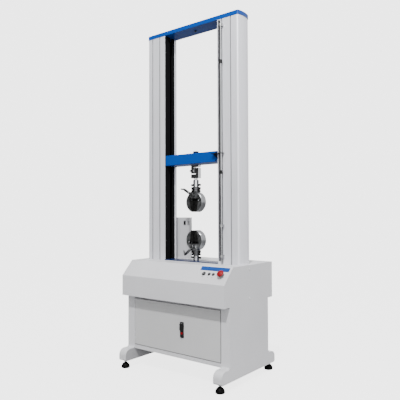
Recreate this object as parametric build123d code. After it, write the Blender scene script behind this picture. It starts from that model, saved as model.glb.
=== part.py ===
from build123d import *
import math
import os

os.makedirs("parts", exist_ok=True)

# A floor-standing universal testing machine with two columns, in millimetres.
# +X right, +Y back, +Z up, origin on the floor under the middle of the machine.

# Driving dimensions: cabinet and table
overall_width = 751.0
cheek_thickness = 55.5
cheek_bolt_diameter = 8.0
cheek_bolt_grip = 9.0
cheek_head_diameter = 14.0
cheek_head_height = 4.4
cheek_bolt_sink = 2.0
flange_width = 24.0
cabinet_depth = 392.0
toe_reach = 74.0
overhang = 49.0
cheek_bottom = 44.5
toe_height = 66.5
toe_top_radius = 36.0
toe_bottom_radius = 10.0
toe_root_radius = 12.0
floor_low = 110.0
rail_height = 21.5
cover_low = 429.0
chamfer_low = 548.0
chamfer_run = 81.0
table_top = 634.0
cover_sheet = 2.5
cabinet_sheet = 2.0
floor_slot_margin = 100.0
floor_slot_length = 60.0
floor_slot_width = 12.0
vent_inset = 170.0
vent_length = 120.0
vent_width = 5.0
vent_rise = 70.0
vent_pitch = 16.0
joint_gap = 0.3
rear_screw_diameter = 4.0

# Driving dimensions: columns and crosshead
cover_margin = 26.0
column_width = 149.5
column_depth = 108.0
column_bulge = 9.5
column_wall = 6.0
column_radius = 12.0
column_rise = 1392.0
groove_mouth = 6.0
front_grooves = (44.4, 104.5)
rear_grooves = (32.3, 91.8)
top_plate_thickness = 24.0
top_plate_lap = 2.0
eye_hole_diameter = 14.0
eye_hole_depth = 20.0
head_screw_insets = (22.0, 122.0)
head_screw_y = 34.0
head_screw_bore = 17.0
head_screw_sink = 10.0
slot_front = 46.0
slot_rear = 30.0
lip_front = 52.0
lip_rear = 33.0
lip_thickness = 2.0
lip_gap = 21.0
crosshead_rise = 579.0
crosshead_height = 62.0
crosshead_depth = 104.0
arm_width = 18.0
tongue_length = 24.0
carriage_reach = 118.0
carriage_depth = 76.0
carriage_inset = 3.0
beam_height = 40.0
beam_depth = 114.0
plate_thickness = 4.0
plate_front = 58.0
plate_rear = 32.0

# Driving dimensions: drive
screw_offset = 88.0
screw_diameter = 32.0
guide_offset = 36.0
guide_diameter = 25.0
guide_seat = 20.0
bearing_outer = 42.0
bearing_height = 12.0
journal_top = 20.0
journal_low = 25.0
bearing_unit = 26.0
nut_diameter = 46.0
nut_flange = 66.0
bush_diameter = 38.0
gearbox_length = 70.0
output_diameter = 20.0
running_gap = 0.05
pulley_low = 480.0
pulley_height = 26.0
screw_pulley_radius = 27.0
motor_pulley_radius = 18.0
motor_y = 100.0
motor_plate_low = 446.0
motor_plate_thickness = 12.0
motor_size = 82.0
motor_length = 120.0
motor_plate_front = 40.0
motor_plate_rear = 70.0
motor_port = 52.0
motor_bridge = 130.0
motor_window_inset = 50.0
motor_window_front = 60.0
motor_window_rear = 30.0

# Driving dimensions: load string and grips
cell_width = 56.0
cell_height = 82.5
cell_thickness = 26.0
cell_slot = 6.0
cell_upper_wall = 18.0
cell_lower_wall = 26.0
cell_overcut = 8.0
cell_pocket = 24.0
cell_pocket_depth = 5.0
cell_upper_thread = 14.0
cell_lower_thread = 17.0
stem_length = 11.0
anchor_depth = 24.0
anchor_diameter = 20.0
socket_diameter = 34.0
upper_socket_length = 43.0
lower_socket_length = 31.0
pin_setback = 13.0
pin_diameter = 8.0
pin_reach = 34.0
collar_height = 29.0
shank_diameter = 20.0
shank_length = 19.0
collar_diameter = 58.0
collar_neck = 48.0
grip_diameter = 122.0
grip_thickness = 43.0
grip_flat = 56.0
pocket_mouth = 40.0
pocket_depth = 78.0
wedge_angle = 12.0
jaw_gap = 5.0
jaw_height = 61.0
jaw_stand = 3.0
tooth_pitch = 3.0
tooth_depth = 0.8
tongue_width = 9.0
tongue_depth = 3.0
pivot_diameter = 12.0
yoke_width = 54.0
yoke_depth = 5.0
lever_pivot_rise = 40.0
lever_length = 76.0
lever_diameter = 12.0
tip_diameter = 9.0
tip_length = 27.0
upper_tip = (90.0, 0.0, 0.0)
lower_tip = (0.0, -17.0, 0.0)
upper_lever_angle = 150.0
lower_lever_angle = 219.0

# Driving dimensions: door, panel, rod, feet and box
door_gap = 3.0
door_depth = 18.0
door_rise = 275.0
door_sheet = 1.5
lock_x = 53.5
lock_width = 25.0
lock_height = 87.0
lock_centre = 270.0
lock_button_drop = 18.5
lock_button_diameter = 15.0
lock_spindle_rise = 31.0
lock_spindle_diameter = 14.0
lock_handle_length = 38.0
lock_handle_thickness = 7.0
pinion_radius = 8.0
bolt_width = 6.0
bolt_setback = 25.0
button_slope = 63.0
button_insets = ((163.7, 22.0), (128.0, 16.0), (100.5, 16.0))
stop_inset = 44.0
stop_slope = 60.0
stop_diameter = 40.0
rod_diameter = 10.0
rod_standoff = 12.0
clip_heights = (680.0, 850.0, 1985.0)
upper_collar_height = 1776.0
lower_collar_height = 1150.0
stop_collar_diameter = 18.0
stop_collar_height = 20.0
foot_diameter = 50.0
foot_inset = 28.5
stud_socket = 26.0
stud_reach = 22.0
foot_y = 245.0
foot_rise = 33.0
stud_diameter = 10.0
box_lap = 42.0
box_width = 110.0
box_front = 100.0
box_depth = 24.0
box_height = 260.0
box_sheet = 1.5
box_cover_depth = 10.0
box_cover_sheet = 1.2
switch_z = 859.0
switch_width = 13.0
switch_height = 24.0
switch_pitch = 32.0
switch_inset = 70.0
rocker_tilt = 8.0
rocker_pin_diameter = 2.0

# Places worked out from the driving dimensions
half_width = overall_width / 2
clear_width = overall_width - 2 * (cover_margin + column_width)
inner_half = half_width - cheek_thickness
cabinet_half = cabinet_depth / 2
toe_half = cabinet_half + toe_reach
cover_half = cabinet_half + overhang
toe_top = cheek_bottom + toe_height
rail_top = floor_low + rail_height
beam_top = table_top - cover_sheet
beam_low = beam_top - beam_height
column_top = table_top + column_rise
machine_top = column_top + top_plate_thickness
column_face = clear_width / 2
foot_x = half_width - foot_inset
button_spots = [(half_width - inset, diameter) for inset, diameter in button_insets]
stop_x = half_width - stop_inset
box_left = -(column_face + box_lap)
box_right = box_left + box_width
column_front = column_depth / 2
screw_x = column_face + screw_offset
guide_x = column_face + guide_offset
crosshead_low = table_top + crosshead_rise
crosshead_top = crosshead_low + crosshead_height
plate_top = table_top + plate_thickness
cell_low = crosshead_low - cell_height
stem_low = cell_low - stem_length
upper_socket_low = stem_low - upper_socket_length
upper_collar_low = upper_socket_low - collar_height
upper_grip_z = upper_collar_low - grip_diameter / 2
lower_socket_top = plate_top + lower_socket_length
lower_collar_top = lower_socket_top + collar_height
lower_grip_z = lower_collar_top + grip_diameter / 2
rod_x = column_face + rear_grooves[0]
rod_y = -(column_front + rod_standoff)
bolt_y = -cabinet_half + bolt_setback
slope_rise = table_top - chamfer_low
slope_length = math.hypot(chamfer_run, slope_rise)


def block(x0, x1, y0, y1, z0, z1):
    """A box between two corners."""
    size = Box(abs(x1 - x0), abs(y1 - y0), abs(z1 - z0))
    return Pos((x0 + x1) / 2, (y0 + y1) / 2, (z0 + z1) / 2) * size


def post(x, y, z0, z1, diameter):
    """An upright cylinder."""
    return Pos(x, y, (z0 + z1) / 2) * Cylinder(diameter / 2, abs(z1 - z0))


def bar_x(y, z, x0, x1, diameter):
    """A cylinder along X."""
    turned = Rot(0, 90, 0) * Cylinder(diameter / 2, abs(x1 - x0))
    return Pos((x0 + x1) / 2, y, z) * turned


def bar_y(x, z, y0, y1, diameter):
    """A cylinder along Y."""
    turned = Rot(90, 0, 0) * Cylinder(diameter / 2, abs(y1 - y0))
    return Pos(x, (y0 + y1) / 2, z) * turned


def face_of(corners):
    """A flat face through corners given as (a, b, radius)."""
    points = [(a, b) for a, b, radius in corners]
    radii = [radius for a, b, radius in corners]
    return make_face(FilletPolyline(*points, radius=radii, close=True))


def along_x(face, x0, x1):
    """Extrude a YZ outline from x0 to x1."""
    return Pos(x0, 0, 0) * extrude(Plane.YZ * face, amount=x1 - x0)


def along_y(face, y0, y1):
    """Extrude an XZ outline from y0 to y1."""
    return Pos(0, y1, 0) * extrude(Plane.XZ * face, amount=y1 - y0)


def along_z(face, z0, z1):
    """Extrude an XY outline from z0 to z1."""
    return Pos(0, 0, z0) * extrude(face, amount=z1 - z0)


def hexagon(x, y, z0, z1, across):
    """An upright hexagonal bar, across its flats."""
    sides = RegularPolygon(across / 2, 6, major_radius=False)
    return Pos(x, y, 0) * along_z(sides, z0, z1)


def half_turn(shape):
    """Turn a shape half a turn about the machine's upright axis."""
    return Rot(0, 0, 180) * shape


def save(node, *shapes):
    """Write one sub-part as a STEP file of its separate solids."""
    solids = [solid for shape in shapes for solid in shape.solids()]
    whole = solids[0] if len(solids) == 1 else Compound(children=solids)
    whole.label = node
    export_step(whole, "parts/" + node + ".step")


# Cabinet and table


def cover_profile():
    """The side outline of the folded table cover."""
    return face_of([
        (-cover_half, cover_low, 0),
        (-cover_half, chamfer_low, 0),
        (chamfer_run - cover_half, table_top, 0),
        (cover_half, table_top, 0),
        (cover_half, cover_low, 0),
    ])


def cheek_outline():
    """The side frame's outline: two toes, a waist and a head under the cover."""
    head = offset(cover_profile(), amount=-cover_sheet, kind=Kind.INTERSECTION)
    waist_top = cover_low + cover_sheet + 1
    body = face_of([
        (-toe_half, cheek_bottom, toe_bottom_radius),
        (-toe_half, toe_top, toe_top_radius),
        (-cabinet_half, toe_top, toe_root_radius),
        (-cabinet_half, waist_top, 0),
        (cabinet_half, waist_top, 0),
        (cabinet_half, toe_top, toe_root_radius),
        (toe_half, toe_top, toe_top_radius),
        (toe_half, cheek_bottom, toe_bottom_radius),
    ])
    return body + head


def cheek():
    """The right-hand side frame, a closed box section with foot and bolt holes."""
    solid = along_x(cheek_outline(), inner_half, half_width)
    for y in (-foot_y, foot_y):
        bore = stud_diameter + 2 * running_gap
        solid -= post(foot_x, y, cheek_bottom - 1, cheek_bottom + stud_socket, bore)
    for z in cheek_bolt_heights():
        solid -= bar_x(0, z, inner_half - 1, half_width + 1, cheek_bolt_diameter + 1)
        solid -= bar_x(0, z, half_width - cheek_bolt_sink, half_width + 1, cheek_head_diameter + 1)
    return solid


def cheek_bolt_heights():
    """Heights of the bolts into the base beam and the motor plate."""
    return (beam_low + beam_height / 2, motor_plate_low + motor_plate_thickness / 2)


def cheek_bolts(side):
    """Button-head bolts that carry the beam and the motor plate on a cheek."""
    bolts = []
    for z in cheek_bolt_heights():
        face = half_width - cheek_bolt_sink
        head = bar_x(0, z, face, face + cheek_head_height, cheek_head_diameter)
        shank = bar_x(0, z, inner_half - cheek_bolt_grip, face, cheek_bolt_diameter)
        socket = Pos(face + cheek_head_height, 0, z) * (Rot(0, 90, 0) * hexagon(0, 0, -2, 1, 5))
        bolts.append(head + shank - socket)
    return [half_turn(bolt) if side < 0 else bolt for bolt in bolts]


def column_outline(grow=0.0):
    """The right column's outline; grow moves every side outwards."""
    inner = column_face - grow
    corner = column_face + column_width - column_bulge + grow
    apex = column_face + column_width + grow
    half = column_front + grow
    line = Polyline((corner, -half), (inner, -half), (inner, half), (corner, half))
    side = ThreePointArc((corner, half), (apex, 0), (corner, -half))
    face = make_face([*line.edges(), *side.edges()])
    ends = face.vertices().group_by(Axis.X)[-1]
    return fillet(ends, column_radius)


def table_cover():
    """The folded sheet cover over the cabinet, cut out for columns and plate."""
    outer = along_x(cover_profile(), -half_width, half_width)
    inside = offset(cover_profile(), amount=-cover_sheet, kind=Kind.INTERSECTION)
    solid = outer - along_x(inside, -half_width - 1, half_width + 1)
    mouth = cabinet_half + 1
    solid -= block(-half_width - 1, half_width + 1, -mouth, mouth, cover_low - 1, cover_low + 9)
    right = along_z(column_outline(1.0), table_top - 9, table_top + 1)
    solid -= right
    solid -= half_turn(right)
    gap = 1.0
    solid -= block(-column_face, column_face, -plate_front - gap, plate_rear + gap,
                   table_top - 9, table_top + 1)
    solid -= post(rod_x, rod_y, table_top - 9, table_top + 1, rod_diameter + 4)
    for x, diameter in button_spots:
        solid -= on_slope(x, button_slope) * Cylinder(diameter / 2 - 1, 20)
    solid -= on_slope(stop_x, stop_slope) * Cylinder(11.5, 20)
    return solid


def on_slope(x, along):
    """A place on the sloping panel, with its Z axis pointing outwards."""
    y = -cover_half + along * chamfer_run / slope_length
    z = chamfer_low + along * slope_rise / slope_length
    normal = (0, -slope_rise / slope_length, chamfer_run / slope_length)
    return Plane(origin=(x, y, z), x_dir=(1, 0, 0), z_dir=normal).location


def base_beam():
    """The thick steel beam under the cover that carries columns, screws and lower grip."""
    half = beam_depth / 2
    solid = block(-inner_half, inner_half, -half, half, beam_low, beam_top)
    for side in (-1, 1):
        solid -= post(side * screw_x, 0, beam_low - 1, beam_top + 1, screw_diameter + 6)
        solid -= post(side * guide_x, 0, beam_top - guide_seat, beam_top + 1, guide_diameter)
        z = beam_low + beam_height / 2
        solid -= bar_x(0, z, side * (inner_half - cheek_bolt_grip), side * (inner_half + 1),
                       cheek_bolt_diameter)
    solid -= post(0, 0, beam_top - anchor_depth, beam_top + 1, anchor_diameter)
    return solid


def lower_plate():
    """The painted plate between the columns that the lower grip stands on."""
    edge = joint_gap
    solid = block(-column_face + edge, column_face - edge, -plate_front, plate_rear,
                  beam_top, plate_top)
    solid -= post(0, 0, beam_top - 1, plate_top + 1, anchor_diameter)
    return chamfer(solid.edges().filter_by(Axis.X).group_by(Axis.Z)[-1], 1.0)


def cabinet_floor():
    """The folded floor tray, whose front fold is the rail under the door."""
    half = cabinet_half
    solid = block(-inner_half, inner_half, -half, half, floor_low, rail_top)
    inner = inner_half - cabinet_sheet
    solid -= block(-inner, inner, -half + cabinet_sheet, half - cabinet_sheet,
                   floor_low + cabinet_sheet, rail_top + 1)
    pitch = (inner_half - floor_slot_margin) / 2
    long = floor_slot_length / 2
    wide = floor_slot_width / 2
    for spot in range(-2, 3):
        x = spot * pitch
        solid -= block(x - long, x + long, -wide, wide, floor_low - 1, floor_low + 9)
    solid += block(-inner_half, inner_half, -half, bolt_y + 14, rail_top - cabinet_sheet, rail_top)
    solid -= bolt_hole(-1, rail_top)
    return solid


def bolt_hole(sense, z):
    """The hole in a rail that a door bolt is thrown into."""
    reach = bolt_width / 2 + 1
    x = bolt_x(sense)
    return block(x - reach, x + reach, bolt_y - reach, bolt_y + reach, z - 9, z + 9)


def bolt_x(sense):
    """A door bolt's place beside its pinion."""
    return lock_x + sense * (pinion_radius + joint_gap + bolt_width / 2)


def top_rail():
    """The set-back channel above the door, which the shut door rests against."""
    front = cabinet_half - door_depth
    high = cover_low
    low = high - rail_height - 10
    solid = block(-inner_half, inner_half, -front, -front + 28, low, high)
    solid -= block(-inner_half - 1, inner_half + 1, -front + cabinet_sheet, -front + 29,
                   low + cabinet_sheet, high - cabinet_sheet)
    solid -= bolt_hole(1, low)
    return solid


def rear_panel():
    """The screwed rear sheet with rows of pressed cooling slots."""
    half = cabinet_half
    edge = inner_half - joint_gap
    low = rail_top + joint_gap
    high = cover_low - joint_gap
    solid = block(-edge, edge, half - cabinet_sheet, half, low, high)
    rows = 8
    for side in (-1, 1):
        for z in rear_screw_heights():
            solid -= bar_y(side * (inner_half - flange_width / 2), z, half - 9, half + 1, rear_screw_diameter)
        for row in range(rows):
            z = low + vent_rise + row * vent_pitch
            slot = Rot(90, 0, 0) * extrude(SlotOverall(vent_length, vent_width), 8, both=True)
            solid -= Pos(side * (inner_half - vent_inset), half, z) * slot
    return solid


def rear_flanges():
    """Angles on the cheeks that the rear panel is screwed to."""
    half = cabinet_half - cabinet_sheet
    low = rail_top + joint_gap
    high = cover_low - joint_gap
    angle = block(inner_half - flange_width, inner_half, half - cabinet_sheet, half, low, high)
    angle += block(inner_half - cabinet_sheet, inner_half, half - flange_width, half, low, high)
    for z in rear_screw_heights():
        angle -= bar_y(inner_half - flange_width / 2, z, half - 9, half + 1, rear_screw_diameter)
    return [angle, mirror(angle, Plane.YZ)]


def rear_screw_heights():
    """Heights of the rear panel's screws."""
    low = rail_top + 22
    high = cover_low - 22
    return (low, (low + high) / 2, high)


def rear_screws():
    """Pan-head screws round the rear panel."""
    screws = []
    for side in (-1, 1):
        for z in rear_screw_heights():
            x = side * (inner_half - flange_width / 2)
            head = bar_y(x, z, cabinet_half, cabinet_half + 2.4, 8)
            shank = bar_y(x, z, cabinet_half - 12, cabinet_half, rear_screw_diameter)
            screws.append(head + shank)
    return screws


# Feet


def foot_bushing_face():
    """Half section of the rubber foot, turned about its own axis."""
    radius = foot_diameter / 2
    stem = stud_diameter / 2
    line = Polyline((0, 0), (radius - 3, 0), (radius, 3), (radius, 9))
    dome = ThreePointArc((radius, 9), (radius * 0.78, foot_rise * 0.66), (stem + 4, foot_rise - 2))
    cap = Polyline((stem + 4, foot_rise - 2), (stem + 3, foot_rise), (0, foot_rise), (0, 0))
    return make_face([*line.edges(), *dome.edges(), *cap.edges()])


def foot(x, y):
    """A rubber levelling foot with its threaded stud."""
    pad = revolve(Plane.XZ * foot_bushing_face(), Axis.Z)
    pad = Pos(x, y, 0) * pad
    pad -= post(x, y, foot_rise - 12, foot_rise + 1, stud_diameter)
    stud = post(x, y, foot_rise - 12, cheek_bottom + stud_reach, stud_diameter)
    return pad, stud


def foot_nuts():
    """Hexagonal lock nuts between the feet and the cheeks."""
    nuts = []
    for x in (-foot_x, foot_x):
        for y in (-foot_y, foot_y):
            nut = hexagon(x, y, cheek_bottom - 7, cheek_bottom, 17)
            nuts.append(nut - post(x, y, 0, 60, stud_diameter + 2 * running_gap))
    return nuts


# Columns


def groove_tool(offset_x, y_face, inward):
    """The T-shaped groove cut into a column face at a distance from the inner face."""
    x = column_face + offset_x
    half = groove_mouth / 2
    mouth = block(x - half, x + half, y_face, y_face + inward * 3, -1, 1)
    seat = block(x - half - 2, x + half + 2, y_face + inward * 2, y_face + inward * 6, -1, 1)
    return mouth + seat


def groove_boss(offset_x, y_face, inward):
    """The thicker wall that holds a groove."""
    x = column_face + offset_x
    half = groove_mouth / 2 + 5
    return block(x - half, x + half, y_face, y_face + inward * 9, -1, 1)


def column_section():
    """A thin slice of the right column's extrusion, between z -1 and 1."""
    wall = column_wall
    outer = along_z(column_outline(), -1, 1)
    inner = along_z(column_outline(-wall), -2, 2)
    section = outer - inner
    front = -column_front
    rear = column_front
    for spot in rear_grooves:
        section += groove_boss(spot, front, 1)
    for spot in front_grooves:
        section += groove_boss(spot, rear, -1)
    for spot in rear_grooves:
        section -= groove_tool(spot, front - 1, 1)
    for spot in front_grooves:
        section -= groove_tool(spot, rear + 1, -1)
    section -= block(column_face - 1, column_face + wall + 1, -slot_rear, slot_front, -2, 2)
    return section


def column():
    """The right column; the left one is the same extrusion turned half a turn."""
    slice_face = column_section().faces().sort_by(Axis.Z)[-1]
    solid = extrude(slice_face, amount=column_top - beam_top)
    return Pos(0, 0, beam_top - 1) * solid


def dust_lips():
    """Rubber lips that close the right column's slot on both sides of the arm."""
    face = column_face
    half = lip_gap / 2
    low = plate_top
    front = block(face - lip_thickness, face, -lip_rear, -half, low, column_top)
    rear = block(face - lip_thickness, face, half, lip_front, low, column_top)
    return [front, rear]


def top_plate():
    """The painted head plate, with bearing seats and a threaded middle hole."""
    lap = top_plate_lap
    end = along_z(column_outline(lap), column_top, machine_top)
    half = column_front + lap
    solid = end + half_turn(end)
    solid += block(-column_face, column_face, -half, half, column_top, machine_top)
    solid = chamfer(solid.edges().group_by(Axis.Z)[-1], 1.5)
    for side in (-1, 1):
        solid -= post(side * screw_x, 0, column_top - 1, column_top + bearing_height + 3, bearing_outer)
        solid -= post(side * guide_x, 0, column_top - 1, column_top + 12, guide_diameter)
        for inset in head_screw_insets:
            for y in (-head_screw_y, head_screw_y):
                solid -= post(side * (column_face + inset), y, machine_top - head_screw_sink,
                              machine_top + 1, head_screw_bore)
    return solid - post(0, 0, machine_top - eye_hole_depth, machine_top + 1, eye_hole_diameter)


def ring(x, y, z0, z1, outer, inner):
    """An upright ring."""
    return post(x, y, z0, z1, outer) - post(x, y, z0 - 1, z1 + 1, inner)


def upper_bearings():
    """Ball bearings for the screws' upper ends, in the head plate."""
    low = column_top + 1
    rings = []
    for side in (-1, 1):
        rings.append(ring(side * screw_x, 0, low, low + bearing_height,
                          bearing_outer - 0.2, journal_top + 2 * running_gap))
    return rings


def lower_bearings():
    """Flanged bearing units that hold the screws under the base beam."""
    units = []
    for side in (-1, 1):
        x = side * screw_x
        unit = post(x, 0, beam_low - 8, beam_low, 60)
        unit += post(x, 0, beam_low - bearing_unit, beam_low - 8, 48)
        unit -= post(x, 0, beam_low - bearing_unit - 1, beam_low + 1, journal_low + 2 * running_gap)
        units.append(unit)
    return units


def screw_shaft(side):
    """A ball screw with its bearing journals."""
    x = side * screw_x
    low = pulley_low - 4
    shoulder = beam_low + joint_gap
    high = column_top - 6
    shaft = post(x, 0, low, shoulder, journal_low)
    shaft += post(x, 0, shoulder, high, screw_diameter)
    shaft += post(x, 0, high, column_top + bearing_height + 2, journal_top)
    return shaft


def toothed_pulley(x, y, radius, teeth, bore):
    """A timing pulley with two flanges."""
    body = post(x, y, pulley_low, pulley_low + pulley_height, 2 * radius)
    width = math.pi * 2 * radius / teeth * 0.46
    notch = block(radius - 1.4, radius + 1, -width / 2, width / 2,
                  pulley_low + 2, pulley_low + pulley_height - 2)
    for tooth in range(teeth):
        body -= Pos(x, y, 0) * (Rot(0, 0, 360 * tooth / teeth) * notch)
    hub = post(x, y, pulley_low + pulley_height, pulley_low + pulley_height + 8, bore + 14)
    return body + hub - post(x, y, pulley_low - 9, pulley_low + pulley_height + 20, bore)


def timing_belt():
    """The belt round both screw pulleys and the motor pulley."""
    gap = joint_gap
    thickness = 3.0
    wheels = ((-screw_x, 0, screw_pulley_radius), (screw_x, 0, screw_pulley_radius),
              (0, motor_y, motor_pulley_radius))
    inner = [Pos(x, y) * Circle(radius + gap) for x, y, radius in wheels]
    outer = [Pos(x, y) * Circle(radius + gap + thickness) for x, y, radius in wheels]
    inside = make_hull([edge for wheel in inner for edge in wheel.edges()])
    outside = make_hull([edge for wheel in outer for edge in wheel.edges()])
    return along_z(outside - inside, pulley_low + 3, pulley_low + pulley_height - 3)


def motor_plate():
    """The steel plate between the cheeks that the gear motor hangs under."""
    low = motor_plate_low
    high = low + motor_plate_thickness
    solid = block(-inner_half, inner_half, -motor_plate_front, motor_y + motor_plate_rear, low, high)
    solid -= post(0, motor_y, low - 1, high + 1, motor_port)
    for side in (-1, 1):
        solid -= block(side * motor_bridge, side * (inner_half - motor_window_inset),
                       motor_y - motor_window_front, motor_y + motor_window_rear, low - 1, high + 1)
        z = low + motor_plate_thickness / 2
        solid -= bar_x(0, z, side * (inner_half - cheek_bolt_grip), side * (inner_half + 1),
                       cheek_bolt_diameter)
    return solid


def gearbox():
    """The planetary gearbox under the motor plate."""
    high = motor_plate_low
    body = post(0, motor_y, high - gearbox_length, high - 8, motor_size)
    flange = Pos(0, motor_y, high - 4) * Box(motor_size + 8, motor_size + 8, 8)
    flange = fillet(flange.edges().filter_by(Axis.Z), 10)
    solid = body + flange
    solid -= post(0, motor_y, high - 30, high + 1, output_diameter + 2 * running_gap)
    return solid


def servo_motor():
    """The servo motor with its rear cap and cable socket."""
    high = motor_plate_low - gearbox_length
    low = high - motor_length
    half = motor_size / 2
    body = block(-half, half, motor_y - half, motor_y + half, low, high)
    body = fillet(body.edges().filter_by(Axis.Z), 8)
    fins = 9
    for fin in range(fins):
        z = low + 14 + fin * (motor_length - 34) / (fins - 1)
        tool = block(-half - 1, half + 1, motor_y - half - 1, motor_y + half + 1, z - 2, z + 2)
        tool -= block(-half + 3, half - 3, motor_y - half + 3, motor_y + half - 3, z - 3, z + 3)
        body -= tool
    cap = block(-half + 8, half - 8, motor_y - half + 8, motor_y + half - 8, low - 30, low)
    cap = fillet(cap.edges().filter_by(Axis.Z), 10)
    plug = bar_y(0, low - 14, motor_y - half - 8, motor_y - half + 9, 20)
    return body + cap + plug


# Crosshead and what hangs from it


def crosshead_beam():
    """The painted moving beam between the columns."""
    half = crosshead_depth / 2
    end = column_face - lip_thickness - 1
    solid = block(-end, end, -half, half, crosshead_low, crosshead_top)
    solid = chamfer(solid.edges().filter_by(Axis.X), 2)
    for side in (-1, 1):
        solid -= block(side * (end - tongue_length), side * (end + 1),
                       -arm_width / 2, arm_width / 2,
                       crosshead_low - 1, crosshead_top + 1)
    solid -= post(0, 0, crosshead_low - 1, crosshead_top + 1, anchor_diameter)
    return solid


def carriage(side):
    """The cast block inside a column, with the arm that reaches out to the beam."""
    end = column_face - lip_thickness - 1 - tongue_length
    inner = column_face + 13
    outer = column_face + carriage_reach
    low = crosshead_low + carriage_inset
    high = crosshead_top - carriage_inset
    half = carriage_depth / 2
    arm = block(end, inner + 1, -arm_width / 2, arm_width / 2, low, high)
    body = block(inner, outer, -half, half, low, high)
    body = fillet(body.edges().filter_by(Axis.Z), 8)
    solid = arm + body
    solid -= post(screw_x, 0, low - 1, high + 1, nut_diameter)
    solid -= post(guide_x, 0, low - 1, high + 1, bush_diameter)
    return solid if side > 0 else half_turn(solid)


def ball_nuts():
    """The flanged ball nuts on the screws."""
    nuts = []
    low = crosshead_low + carriage_inset
    high = crosshead_top - carriage_inset
    for side in (-1, 1):
        x = side * screw_x
        nut = post(x, 0, low - 12, low, nut_flange)
        nut += post(x, 0, low, high + 8, nut_diameter)
        nut -= post(x, 0, low - 20, high + 20, screw_diameter + 2 * running_gap)
        nuts.append(nut)
    return nuts


def guide_bushes():
    """The linear bushes on the guide rods."""
    low = crosshead_low + carriage_inset
    high = crosshead_top - carriage_inset
    return [ring(side * guide_x, 0, low, high, bush_diameter, guide_diameter + 2 * running_gap)
            for side in (-1, 1)]


def guide_rods():
    """The hardened guide rods between base beam and head plate."""
    return [post(side * guide_x, 0, beam_top - guide_seat, column_top + 12, guide_diameter)
            for side in (-1, 1)]


def cell_bolt():
    """The hex bolt through the crosshead into the load cell."""
    head = hexagon(0, 0, crosshead_top + 3, crosshead_top + 16, 32)
    washer = post(0, 0, crosshead_top, crosshead_top + 3, 38)
    shank = post(0, 0, crosshead_low - cell_upper_thread, crosshead_top + 16, anchor_diameter)
    tip = post(0, 0, crosshead_top + 16, crosshead_top + 17.5, anchor_diameter - 2)
    return head + washer + shank + tip


def load_cell():
    """The S-shaped load cell with its two cross slots."""
    half = cell_width / 2
    deep = cell_thickness / 2
    solid = block(-half, half, -deep, deep, cell_low, crosshead_low)
    slot = cell_slot / 2
    upper = crosshead_low - cell_upper_wall
    lower = cell_low + cell_lower_wall
    reach = half + 1
    over = cell_overcut
    solid -= block(-over, reach, -deep - 1, deep + 1, upper - slot, upper + slot)
    solid -= block(-reach, over, -deep - 1, deep + 1, lower - slot, lower + slot)
    middle = (upper + lower) / 2
    for side in (-1, 1):
        solid -= bar_y(0, middle, side * (deep - cell_pocket_depth), side * (deep + 1), cell_pocket)
    solid -= post(0, 0, crosshead_low - cell_upper_thread, crosshead_low + 1, anchor_diameter)
    solid -= post(0, 0, cell_low - 1, cell_low + cell_lower_thread, anchor_diameter)
    return solid


def cable_gland():
    """The short gland on the load cell's left side."""
    half = cell_width / 2
    z = cell_low + 46
    body = bar_x(0, z, -half - 16, -half - 5, 12)
    nut = Pos(-half - 5, 0, z) * (Rot(0, 90, 0) * hexagon(0, 0, 0, 5, 14))
    solid = body + nut
    solid -= bar_x(0, z, -half - 17, -half - 3, 5)
    return solid


def adapter(z_open, z_far, stud_to):
    """A chromed round socket with a cross hole, open towards the grip."""
    sense = 1 if z_far > z_open else -1
    solid = post(0, 0, z_open, z_far, socket_diameter)
    solid = chamfer(solid.edges().filter_by(GeomType.CIRCLE), 1.5)
    solid += post(0, 0, z_far - sense * 2, stud_to, anchor_diameter)
    solid -= post(0, 0, z_open - sense, z_open + sense * shank_length, shank_diameter + 0.4)
    z_pin = z_open + sense * pin_setback
    return solid - bar_x(0, z_pin, -40, 40, pin_diameter + 0.2)




def cross_pin(z_open, sense):
    """The headed cross pin that holds a grip's shank in its socket."""
    z = z_open + sense * pin_setback
    pin = bar_x(0, z, -pin_reach, pin_reach, pin_diameter)
    for side in (-1, 1):
        knob = bar_x(0, z, side * (socket_diameter / 2 + 4), side * pin_reach, pin_diameter + 4)
        pin += knob
    return pin


def lock_ring(z0, z1):
    """The round lock nut between a grip and its socket, with spanner slots."""
    body = post(0, 0, z0, z1, collar_diameter)
    body = chamfer(body.edges().filter_by(GeomType.CIRCLE), 2)
    low = min(z0, z1)
    third = abs(z1 - z0) / 3
    body -= ring(0, 0, low + third, low + 1.5 * third, collar_diameter + 9, collar_neck)
    for turn in range(6):
        tool = block(collar_diameter / 2 - 3, collar_diameter / 2 + 1, -4, 4,
                     min(z0, z1) - 1, max(z0, z1) + 1)
        body -= Rot(0, 0, 60 * turn + 30) * tool
    return body - post(0, 0, min(z0, z1) - 1, max(z0, z1) + 1, shank_diameter + 0.4)


# Wedge grips, built with the jaws' mouth down and placed by grip_place


def grip_place(shape, z, sense):
    """Put a grip piece at its height, turned over for the lower grip."""
    turned = shape if sense > 0 else Rot(0, 180, 0) * shape
    return Pos(0, 0, z) * turned


def wedge_line(z):
    """Half width of the jaw pocket at a height over the grip's middle."""
    return pocket_mouth / 2 + (z + grip_flat) * math.tan(math.radians(wedge_angle))


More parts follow.
